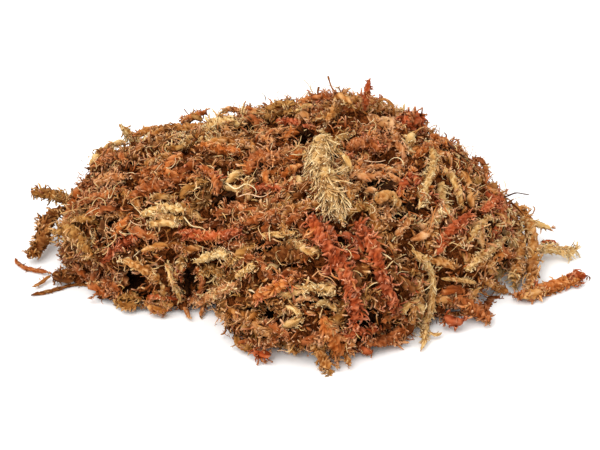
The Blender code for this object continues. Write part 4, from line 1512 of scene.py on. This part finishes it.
@dataclass
class InnerTangle:
    """The heap's inside, dark partly with painted shade, as it shows between strands: drawn in, finer and
    roughened.
    """

    node: bpy.types.Object
    surface: BVHTree
    pits: Hollows
    inset: float = 2.6 * MM
    pit_depth: float = 5 * MM
    pit_reach: float = 1.3  # how far from its middle a pit begins to sink, in halves of its width
    pit_shade: float = 1.5  # and how far its painted shade, a darker colour, goes
    lumps: tuple[float, float] = (5.0, 0.6)  # how far apart they are and how high, in mm
    grains: tuple[float, float] = (2.4, 0.4)
    room_share: float = 0.45  # how far in it can go, as a share of the way to the far side of a ridge
    room_start: float = 0.5 * MM  # where the search for that far side begins
    no_limit: float = 1.0  # where there is no far side
    weld: float = 0.01 * MM
    # the second finish is painted shade for the pits
    finishes: tuple = (TangleFinish(), TangleFinish("pit_bottoms", seen(34, 16, 6), seen(74, 42, 20)))

    def build(self) -> None:
        """Makes the piece."""
        piece = self._finer_piece()
        mesh = piece.data
        count = len(mesh.vertices)
        places, normals = np.empty(count * 3), np.empty(count * 3)
        mesh.vertices.foreach_get("co", places)
        mesh.vertex_normals.foreach_get("vector", normals)
        places, normals = places.reshape(-1, 3), normals.reshape(-1, 3)
        depth = self.inset + np.clip(self.pit_reach - self.pits.distance(places), 0, 1) * self.pit_depth
        depth = depth - self._roughness(places)
        moved = places - normals * np.minimum(depth, self._room(places, normals))[:, None]
        mesh.vertices.foreach_set("co", pressed(moved).astype(np.float32).ravel())
        mesh.materials.clear()
        for finish in self.finishes:
            mesh.materials.append(finish.make())
        middles = np.empty(len(mesh.polygons) * 3)
        mesh.polygons.foreach_get("center", middles)
        # faces near a pit's middle take the pit's painted shade
        in_pit_shade = self.pits.distance(middles.reshape(-1, 3)) < self.pit_shade
        mesh.polygons.foreach_set("material_index", in_pit_shade.astype(np.int32))
        mesh.update()
        fix_to_clump(piece, "matted", "matted_heap")

    def _finer_piece(self) -> bpy.types.Object:
        """Copies the heap's solid with finer faces.

        Returns:
            The copy.
        """
        mesh = self.node.data.copy()
        mesh.name = "inner_tangle"
        piece = bpy.data.objects.new("inner_tangle", mesh)
        bpy.context.scene.collection.objects.link(piece)
        weld = piece.modifiers.new("weld", "WELD")
        weld.merge_threshold = self.weld
        finer = piece.modifiers.new("finer", "SUBSURF")
        finer.subdivision_type = "SIMPLE"
        finer.levels = finer.render_levels = 1
        graph = bpy.context.evaluated_depsgraph_get()
        piece.data = bpy.data.meshes.new_from_object(piece.evaluated_get(graph))
        piece.modifiers.clear()
        return piece

    def _roughness(self, places: Array) -> Array:
        """Works out how much higher than a smooth surface the tangle is.

        Args:
            places: places on it.

        Returns:
            The height at each.
        """
        rough = np.zeros(len(places))
        for seed, (size, height) in enumerate((self.lumps, self.grains), SEED + 1):
            rough = rough + Patches(size * MM, seed).at(places) * height * MM
        return rough

    def _room(self, places: Array, normals: Array) -> Array:
        """Measures how far the solid can be drawn in before it passes through itself.

        Args:
            places: places on the solid.
            normals: the way out of it at each.

        Returns:
            How far in each can go.
        """
        room = []
        for place, normal in zip(places, normals):
            inward = Vector(-normal)
            far = self.surface.ray_cast(Vector(place) + inward * self.room_start, inward)[3]
            room.append(self.no_limit if far is None else far * self.room_share)
        return np.array(room)


@dataclass
class Scattered:
    """Branchlets scattered all over the heap, each lying along its surface."""

    node: bpy.types.Object
    pits: Hollows
    count: int  # less those that fall into the pits
    rise: float  # how far above the heap's surface they root
    thickness: float
    tints: tuple[Tint, ...]
    length: Span = (3.0 * MM, 6.5 * MM)
    turning: Span = (0.5, 2.8)
    lowest: float = 1 * MM
    pit_share: float = 0.8  # how much of a pit's width stays clear
    lift: float = 0.35  # how much they point out of the heap
    hug: float = 0.7  # how much they turn back to it
    stray: float = 0.7  # and any other way
    bounce: float = 1.4  # how much of a way into the heap is taken off again

    def curls(self, rng: Rng) -> Curls:
        """Scatters the branchlets.

        Args:
            rng: the source of chance.

        Returns:
            The branchlets, not tinted yet.
        """
        mesh = self.node.data
        mesh.calc_loop_triangles()
        parts = [part for part in mesh.loop_triangles if part.center.z > self.lowest]
        areas = np.array([part.area for part in parts])
        picked = [parts[n] for n in rng.choice(len(parts), self.count, p=areas / areas.sum())]
        corners = np.array([[mesh.vertices[v].co for v in part.vertices] for part in picked])
        place = (corners * rng.dirichlet((1, 1, 1), self.count)[:, :, None]).sum(1)
        normal = np.array([part.normal for part in picked])
        clear = self.pits.distance(place) >= self.pit_share
        place, normal = place[clear], normal[clear]
        count = len(place)
        way = unit_rows(normal * self.lift + rng.normal(0, 1.0, (count, 3)))
        way = unit_rows(way - normal * np.minimum(dots(way, normal), 0) * self.bounce)
        lean = rng.normal(0, self.stray, (count, 3)) - normal * self.hug
        return Curls(root=place + normal * self.rise, way=way, side=unit_rows(lean - way * dots(lean, way)),
                     face=normal, length=rng.uniform(*self.length, count),
                     turning=rng.uniform(*self.turning, count), tint=np.zeros(count, int),
                     tone=np.full(count, 0.5))


@dataclass
class Underlay(Scattered):
    """Short branchlets all over the tangle, as they show between the strands."""

    count: int = 3600
    rise: float = -1.8 * MM
    thickness: float = 0.5 * MM
    tints: tuple[Tint, ...] = (T.UMBER, T.RUST, T.RUST, T.OCHRE, T.OCHRE, T.ROSE)
    patch_size: float = 9 * MM  # of patches that go through the tints
    patch_height: float = 1.6
    patch_blur: float = 0.4
    tone: float = 0.36
    tone_spread: float = 0.15

    def shapes(self, rng: Rng) -> Shapes:
        """Makes the branchlets.

        Args:
            rng: the source of chance.

        Returns:
            Their shapes.
        """
        curls = self.curls(rng)
        count = len(curls.root)
        patch = Patches(self.patch_size, SEED + 3).at(curls.root) + rng.normal(0, self.patch_blur, count)
        kinds = np.array([tint.value for tint in self.tints])
        kind = ((patch + self.patch_height) / (2 * self.patch_height) * len(kinds)).astype(int)
        curls.tint = kinds[np.clip(kind, 0, len(kinds) - 1)]
        curls.tone = rng.normal(self.tone, self.tone_spread, count)
        return curls.fingers(self.thickness, rng)


@dataclass
class Fuzz(Scattered):
    """Thin pale curls on top of everything."""

    count: int = 1500
    rise: float = 0.5 * MM
    thickness: float = 0.19 * MM
    tints: tuple[Tint, ...] = (T.STRAW, T.STRAW, T.ROSE, T.OCHRE, T.RUST, T.RUST)
    extra_rise: float = 2.5 * MM  # how much higher the highest of them root
    tones: Span = (0.25, 0.9)
    tightness: float = 1.3  # how much more they turn than other branchlets

    def shapes(self, rng: Rng) -> Shapes:
        """Makes the curls.

        Args:
            rng: the source of chance.

        Returns:
            Their shapes.
        """
        curls = self.curls(rng)
        count = len(curls.root)
        curls.root = curls.root + curls.face * rng.uniform(0, self.extra_rise, (count, 1))
        kinds = np.array([tint.value for tint in self.tints])
        curls.tint = kinds[rng.integers(0, len(kinds), count)]
        curls.tone = rng.uniform(*self.tones, count)
        curls.turning = curls.turning * self.tightness
        return curls.fingers(self.thickness, rng)


@dataclass
class FillStrands:
    """Strands that wander over the heap by chance, mostly tinted like what lies near them."""

    node: bpy.types.Object
    surface: BVHTree
    pits: Hollows
    dips: Hollows
    count: int = 222
    tries: int = 14  # of which the one farthest from all others is kept
    sparing: int = 3  # of a middle line's points, one in so many keeps others away
    length: Span = (18 * MM, 44 * MM)
    radius: Span = (2.5 * MM, 4.3 * MM)
    sink: Span = (0.2, 0.7)  # how deep its middle line lies, as a share of its radius
    bulge: float = 0.12  # how much its radius differs along it
    end_share: float = 0.65  # how thick its ends are
    step: float = 4 * MM
    wander: float = 0.42  # how much its way can change in a step
    lowest: float = 3 * MM
    steepest: float = -0.3  # how far over a face can hang where a strand starts
    palette: tuple = ((T.RUST, 27), (T.ORANGE, 10), (T.OCHRE, 20), (T.STRAW, 16), (T.ROSE, 9), (T.UMBER, 10),
                      (T.RED, 8), (T.OLIVE, 8))
    second_share: Span = (0.15, 0.4)
    kinship: float = 0.65  # how often a strand has the tint of the laid strand next to it
    kin_distance: float = 16 * MM
    pale_side: float = 25 * MM  # right of this, pale tints take over
    pale_share: float = 0.5  # of the strands there
    pale_tints: tuple[Tint, ...] = (T.STRAW, T.ROSE, T.OCHRE, T.OCHRE)
    tones: Span = (0.34, 0.54)
    paler_right: float = 0.28
    half_width: float = 90 * MM  # of the heap, where its tone is at its palest and darkest

    def strands(self, laid: list[Strand], courses: list[Course], rng: Rng) -> list[Strand]:
        """Lays the strands.

        Args:
            laid: the strands that lie there already.
            courses: the middle lines of others that do.
            rng: the source of chance.

        Returns:
            The new strands.
        """
        faces = [face for face in self.node.data.polygons
                 if face.center.z > self.lowest and face.normal.z > self.steepest]
        areas = np.array([face.area for face in faces])
        tints, weights = zip(*self.palette)
        weights = np.array(weights) / sum(weights)
        kin = [(strand, Vector(strand.course.points[len(strand.course.points) // 2])) for strand in laid]
        taken = np.vstack([strand.course.points for strand in laid] + [course.points for course in courses])
        made = []
        while len(made) < self.count:
            tries = []
            for _ in range(self.tries):
                start = faces[rng.choice(len(faces), p=areas / areas.sum())].center.copy()
                points = self._wander(start, rng.uniform(*self.length), rng)
                line = np.array(points)
                if self.pits.distance(line).min() >= 1 and self.dips.distance(line).min() >= 1:
                    near = np.linalg.norm(line[:, None] - taken[None, ::self.sparing], axis=2).min(1)
                    tries.append((float(near.mean()), len(tries), points))
            points = max(tries)[2]
            taken = np.vstack([taken, np.repeat(np.array(points), self.sparing, axis=0)])
            course = self._sunk_course(points, rng)
            tint, second = (tints[n] for n in rng.choice(len(tints), 2, p=weights))
            middle = points[len(points) // 2]
            near, spot = min(kin, key=lambda one: (one[1] - middle).length)
            if rng.random() < self.kinship and (spot - middle).length < self.kin_distance:
                tint = near.tint
            if middle.x > self.pale_side and rng.random() < self.pale_share:
                tint = self.pale_tints[rng.integers(len(self.pale_tints))]
            right = min(1, max(-1, middle.x / self.half_width))
            tone = rng.uniform(*self.tones) + self.paler_right * right
            made.append(Strand(course, tint, second, rng.uniform(*self.second_share), Habit.TUFTED, tone))
        return made

    def _sunk_course(self, points: list[Vector], rng: Rng) -> Course:
        """Draws a strand's middle line a little below the heap's surface.

        Args:
            points: places on the surface.
            rng: the source of chance.

        Returns:
            The middle line, thinner at both ends.
        """
        radius = rng.uniform(*self.radius)
        sink = radius * rng.uniform(*self.sink)
        sunk = [point - self.surface.find_nearest(point)[1] * sink for point in points]
        shares = 1 + rng.uniform(-self.bulge, self.bulge, len(sunk))
        shares[0] = shares[-1] = self.end_share
        return Course.through(np.array(sunk), shares * radius)

    def _wander(self, start: Vector, length: float, rng: Rng) -> list[Vector]:
        """Draws a wandering line over the heap.

        Args:
            start: where it starts.
            length: how long it is.
            rng: the source of chance.

        Returns:
            Its points.
        """
        points, way = [start], Vector(rng.normal(size=3))
        for _ in range(max(3, round(length / self.step))):
            way = (way + Vector(rng.normal(0, self.wander, 3))).normalized()
            place, normal, _, _ = self.surface.find_nearest(points[-1] + way * self.step)
            way = (way - normal * way.dot(normal)).normalized()
            points.append(place)
        return points


@dataclass
class MattedHeap:
    """The heap: a dark inner tangle, with leafy strands laid over it from all sides."""

    view: View
    own: FrameStrands  # the frame's own strands, which the others leave room for
    laid: list[Laid]
    pit_marks: Marks
    dip_marks: Marks
    laid_rise: float = 0.1  # how high a laid strand's middle line is, as a share of its radius
    laid_ends: tuple[float, float] = (0.75, 0.7)  # how thick its ends are
    skin_depth: float = 1.7 * MM  # how far below the surface branchlets still grow
    own_clearance: float = 1.8 * MM  # from the middle lines of the frame's own strands
    pit_share: float = 0.75  # how much of a pit's width branchlets leave clear
    most_triangles: int = 150_000  # in one piece
    surface: BVHTree = field(init=False)
    taken: KDTree = field(init=False)
    pits: Hollows = field(init=False)

    def build(self, patches: Patches) -> None:
        """Makes the heap's pieces.

        Args:
            patches: where second tints take over.
        """
        node = frame["nodes"]["matted_heap"]
        self.surface = surface_of(node.data)
        self.taken = self.own.spots()
        self.pits = Hollows.seen_at(self.pit_marks, self.view, self.surface)
        dips = Hollows.seen_at(self.dip_marks, self.view, self.surface)
        InnerTangle(node, self.surface, self.pits).build()
        rng = np.random.default_rng(SEED)
        laid = self._laid_strands()
        fill = FillStrands(node, self.surface, self.pits, dips)
        strands = fill.strands(laid, list(self.own.courses.values()), rng) + laid
        grown = [part for strand in strands for part in strand.shapes(rng, patches, self._keeps)]
        scattered = [kind(node, self.pits).shapes(rng) for kind in (Underlay, Fuzz)]
        shapes = Shapes.joined(grown + scattered)
        for tint in Tint:
            for number, part in enumerate(shapes.only(shapes.tints == tint.value).split(self.most_triangles)):
                piece = part.piece(f"matted_{tint.name.lower()}_leaves_{number + 1}")
                fix_to_clump(piece, "matted", "matted_heap")

    def _keeps(self, middles: Array) -> Array:
        """Chooses the branchlets that grow: not too deep in the heap, nor in a pit or an own strand's place.

        Args:
            middles: the branchlets' middles.

        Returns:
            Which of them grow.
        """
        kept = []
        for middle in middles:
            place, normal, _, _ = self.surface.find_nearest(Vector(middle))
            deep = (Vector(middle) - place).dot(normal) < -self.skin_depth
            kept.append(not deep and self.taken.find(middle)[2] > self.own_clearance)
        return np.array(kept, bool) & (self.pits.distance(middles) >= self.pit_share)

    def _place(self, point: tuple, rise: float) -> Vector:
        """Finds where a place of a route is in the room.

        Args:
            point: the place.
            rise: how far before the heap's surface it is, unless it has a height of its own.

        Returns:
            The point.
        """
        if len(point) == 3:
            return self.view.at_height(point[0], point[1], point[2] * MM)
        return self.view.before_surface(*point, self.surface, rise)

    def _laid_strands(self) -> list[Strand]:
        """Lays the strands with routes of their own.

        Returns:
            The strands.
        """
        made = []
        for laid in self.laid:
            radius = laid.radius * MM
            lifted = [self._place(point, radius * self.laid_rise + laid.off * MM) for point in laid.route]
            start, end = self.laid_ends
            radii = np.array([start] + [1.0] * (len(lifted) - 2) + [end]) * radius
            course = Course.through(np.array(lifted), radii)
            made.append(Strand(course, laid.tint, laid.second, laid.second_share, laid.habit, laid.tone))
        return made


@dataclass(frozen=True)
class Thread:
    """A thin thread that lies on the heap: its tint, tone and radius in mm, and its route.

    A place of the route is across and down in the view, and how far it stands before the heap in mm.
    """

    tint: Tint
    tone: float
    radius: float
    route: tuple


THREADS = [
    Thread(T.UMBER, 0.5, 0.46, ((328, 76, 3), (332, 88, 4), (338, 94, 5), (346, 100, 6), (353, 108, 7),
                                (358, 119, 6))),
    Thread(T.UMBER, 0.4, 0.50, ((319, 87, 4), (318, 94, 5), (323, 100, 4))),
    Thread(T.UMBER, 0.0, 0.52, ((494, 205, 6), (501, 199, 6), (508, 196, 6), (516, 193, 6), (523, 194, 6),
                                (530, 195, 6))),
    Thread(T.UMBER, 0.1, 0.56, ((511, 203, 6), (518, 209, 7), (524, 216, 7))),
    Thread(T.OCHRE, 0.6, 0.40, ((521, 206, 6), (527, 207, 6), (529, 212, 6), (525, 217, 6))),
    Thread(T.UMBER, 0.0, 0.50, ((446, 142, 6), (454, 150, 7), (461, 155, 7), (468, 159, 6), (476, 163, 5))),
    Thread(T.UMBER, 0.0, 0.50, ((464, 157, 7), (469, 162, 6), (472, 171, 6))),
    Thread(T.STRAW, 0.7, 0.40, ((205, 283, 1), (211, 281, 3), (217, 275, 4), (226, 276, 2))),
    Thread(T.ROSE, 0.6, 0.29, ((462, 156, 3), (470, 164, 5), (478, 170, 4), (486, 180, 2))),
    Thread(T.OCHRE, 0.4, 0.32, ((246, 101, 4), (244, 106, 2), (247, 113, 0))),
    Thread(T.STRAW, 0.8, 0.29, ((184, 217, 1), (192, 226, 2), (202, 228, 2), (212, 236, 1))),
    Thread(T.ROSE, 0.8, 0.29, ((205, 176, 1), (212, 183, 2), (209, 192, 1))),
    Thread(T.STRAW, 0.8, 0.26, ((233, 155, 1), (237, 148, 2), (241, 143, 1))),
    Thread(T.STRAW, 0.9, 0.35, ((226, 183, 1), (236, 189, 2), (246, 184, 3), (256, 190, 2), (254, 199, 1))),
    Thread(T.ROSE, 0.9, 0.32, ((238, 197, 1), (248, 194, 2), (262, 197, 2), (274, 190, 1))),
    Thread(T.STRAW, 0.8, 0.29, ((298, 251, 1), (304, 257, 2), (311, 262, 1))),
    Thread(T.STRAW, 0.8, 0.35, ((378, 252, 1), (387, 256, 2), (397, 264, 2), (408, 272, 1))),
    Thread(T.STRAW, 0.7, 0.29, ((384, 272, 1), (392, 262, 2), (402, 256, 1))),
    Thread(T.ROSE, 0.9, 0.35, ((343, 151, 1), (354, 157, 2), (366, 161, 3), (378, 162, 2), (386, 160, 1))),
    Thread(T.ORANGE, 0.6, 0.38, ((440, 200, 1), (434, 213, 3), (430, 228, 3), (422, 241, 1))),
    Thread(T.ORANGE, 0.5, 0.35, ((440, 199, 1), (447, 212, 3), (456, 226, 1))),
    Thread(T.STRAW, 0.9, 0.38, ((249, 290, 1), (254, 292, 2), (259, 299, 1))),
    Thread(T.STRAW, 0.9, 0.35, ((280, 283, 1), (286, 288, 2), (291, 286, 1))),
    Thread(T.STRAW, 0.9, 0.35, ((259, 301, 1), (265, 305, 2), (271, 311, 1))),
    Thread(T.STRAW, 0.7, 0.32, ((94, 216, 1), (92, 206, 2), (98, 198, 2), (105, 202, 2), (104, 213, 1))),
    Thread(T.OCHRE, 0.6, 0.29, ((60, 214, 2), (74, 210, 3), (91, 208, 1))),
    Thread(T.ROSE, 0.6, 0.30, ((317, 268, 1), (321, 275, 2), (330, 278, 3), (337, 286, 1))),
    Thread(T.ROSE, 0.6, 0.26, ((312, 277, 1), (319, 271, 2), (324, 272, 2), (329, 266, 1))),
    Thread(T.UMBER, 0.4, 0.30, ((184, 109, 1), (187, 113, 2), (191, 117, 1))),
    Thread(T.UMBER, 0.4, 0.38, ((179, 121, 1), (184, 120, 2), (190, 122, 1))),
]


@dataclass
class Threads:
    """Thin curled threads on the heap: some have routes of their own, and many are scattered by chance."""

    view: View
    routes: list[Thread]
    surface: BVHTree
    step: float = 1.1 * MM
    sides: int = 3
    taper: float = 0.6  # how much thinner a thread gets towards its end
    last_ring: float = 0.97  # before its tip
    mottle: float = 0.05  # how much its tone differs from place to place
    least_rise: float = 0.15  # how far out in the map it is, if dark
    pale_rise: float = 0.7  # and how much farther, if pale
    rise_spread: Span = (0.8, 1.1)
    tip_rise: float = 0.9
    scattered: int = 320
    length: Span = (4 * MM, 12 * MM)  # of the scattered ones, as all that follows
    radius: Span = (0.12 * MM, 0.25 * MM)
    tones: Span = (0.45, 0.95)
    tints: tuple[Tint, ...] = (T.STRAW, T.STRAW, T.STRAW, T.ROSE, T.ROSE, T.OCHRE, T.UMBER)
    starts: Span = (0.3, 1.2)  # as shares of the heap's height
    first_rise: float = 1.5
    lift: float = 0.5  # how much a thread sets out upwards
    turning: Span = (0.2, 0.75)
    stray: float = 0.16
    sag: float = 0.05
    clearance: float = 0.8 * MM

    def build(self) -> None:
        """Makes the threads' piece."""
        rng = np.random.default_rng(SEED + 5)
        made = []
        for thread in self.routes:
            places = [self.view.before_surface(across, down, self.surface, off * MM)
                      for across, down, off in thread.route]
            course = Course.through(np.array(places), np.full(len(places), thread.radius * MM))
            made.append(self._tube(course, thread.tint, thread.tone, rng))
        made += [self._scattered_thread(rng) for _ in range(self.scattered)]
        fix_to_clump(Shapes.joined(made).piece("threads"), "straw")

    def _scattered_thread(self, rng: Rng) -> Shapes:
        """Makes one small curled thread somewhere on the heap.

        Args:
            rng: the source of chance.

        Returns:
            Its shape.
        """
        low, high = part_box("matted_heap")
        across, back = rng.uniform(low.x, high.x), rng.uniform(low.y, high.y)
        above = Vector((across, back, high.z * rng.uniform(*self.starts)))
        place, outward, _, _ = self.surface.find_nearest(above)
        start = np.array(place + outward * rng.uniform(0, self.first_rise) * MM)
        way = unit_rows(np.array(outward) * self.lift + rng.normal(size=3))
        turning = unit_rows(np.cross(way, rng.normal(size=3))) * rng.uniform(*self.turning)
        points = [start]
        for _ in range(max(4, round(rng.uniform(*self.length) / self.step))):
            way = unit_rows(way + turning + rng.normal(0, self.stray, 3) - np.array(outward) * self.sag)
            turning = turning - way * (turning @ way)
            fresh = points[-1] + way * self.step
            near, normal, _, _ = self.surface.find_nearest(Vector(fresh))
            over = (Vector(fresh) - near).dot(normal)
            if over < self.clearance:
                fresh = fresh + np.array(normal) * (self.clearance - over)
            points.append(fresh)
        radius = rng.uniform(*self.radius)
        course = Course.through(np.array(points), np.full(len(points), radius), self.step)
        tint = self.tints[rng.integers(len(self.tints))]
        return self._tube(course, tint, rng.uniform(*self.tones), rng)

    def _tube(self, course: Course, tint: Tint, tone: float, rng: Rng) -> Shapes:
        """Makes a thread's tube, uneven and thinner towards its end.

        Args:
            course: its middle line.
            tint: its tint.
            tone: its tone.
            rng: the source of chance.

        Returns:
            Its shape.
        """
        levels = max(5, round(course.length / self.step))
        share = np.linspace(0, self.last_ring, levels)
        point, _, aside, above, radius = course.at(share)
        turn = np.arange(self.sides) * math.tau / self.sides
        out = aside[:, None] * np.cos(turn)[None, :, None] + above[:, None] * np.sin(turn)[None, :, None]
        thick = radius * (1 - self.taper * share**2) * rng.uniform(*UNEVENNESS, levels)
        rings = point[:, None] + out * thick[:, None, None]
        around = (1, levels, self.sides)
        tones = tone + rng.normal(0, self.mottle, around)
        rise = self.least_rise + self.pale_rise * tone * rng.uniform(*self.rise_spread, around)
        tip, tip_rise = course.points[-1][None], np.array([self.tip_rise * tone])
        return tube_shapes(rings[None], tip, self.sides, np.array([tint.value]), tones, rise, tip_rise)


@dataclass
class Studio:
    """The floor, the soft light and the camera."""

    view: View
    floor_side: float = 6.0
    floor_colour: Colour = (0.88, 0.88, 0.87)
    sky_light: float = 1.14
    key_light: float = 33.8
    key_side: float = 1.6
    key_place: tuple[float, float, float] = (-0.7, -0.9, 1.5)

    def build(self) -> None:
        """Sets everything up round the clump."""
        scene = bpy.context.scene
        scene.camera = self.view.camera()
        scene.view_settings.view_transform = "Standard"
        world = bpy.data.worlds.new("soft_light")
        world.use_nodes = True
        background = world.node_tree.nodes["Background"]
        background.inputs["Color"].default_value = (1, 1, 1, 1)
        background.inputs["Strength"].default_value = self.sky_light
        scene.world = world
        bpy.ops.mesh.primitive_plane_add(size=self.floor_side)
        floor = bpy.context.object
        floor.name = "floor"
        floor.data.materials.append(PlainFinish("floor", self.floor_colour).make())
        lamp = bpy.data.lights.new("key", "AREA")
        lamp.shape = "SQUARE"
        lamp.size = self.key_side
        lamp.energy = self.key_light
        key = bpy.data.objects.new("key", lamp)
        key.location = self.key_place
        key.rotation_euler = (-Vector(key.location)).to_track_quat("-Z", "Y").to_euler()
        scene.collection.objects.link(key)


def main() -> None:
    """Builds the studio, the strands and the heap."""
    logging.basicConfig(level=logging.INFO, format="%(name)s %(message)s")
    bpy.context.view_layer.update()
    view = View()
    Studio(view).build()
    for finish in FINISHES:
        finish.make()
    patches = Patches(14 * MM, SEED)
    strands = FrameStrands(DRESSES)
    strands.read()
    strands.build(patches)
    heap = MattedHeap(view, strands, LAID, PITS, DIPS)
    heap.build(patches)
    Threads(view, THREADS, heap.surface).build()


if __name__ == "__main__":
    main()
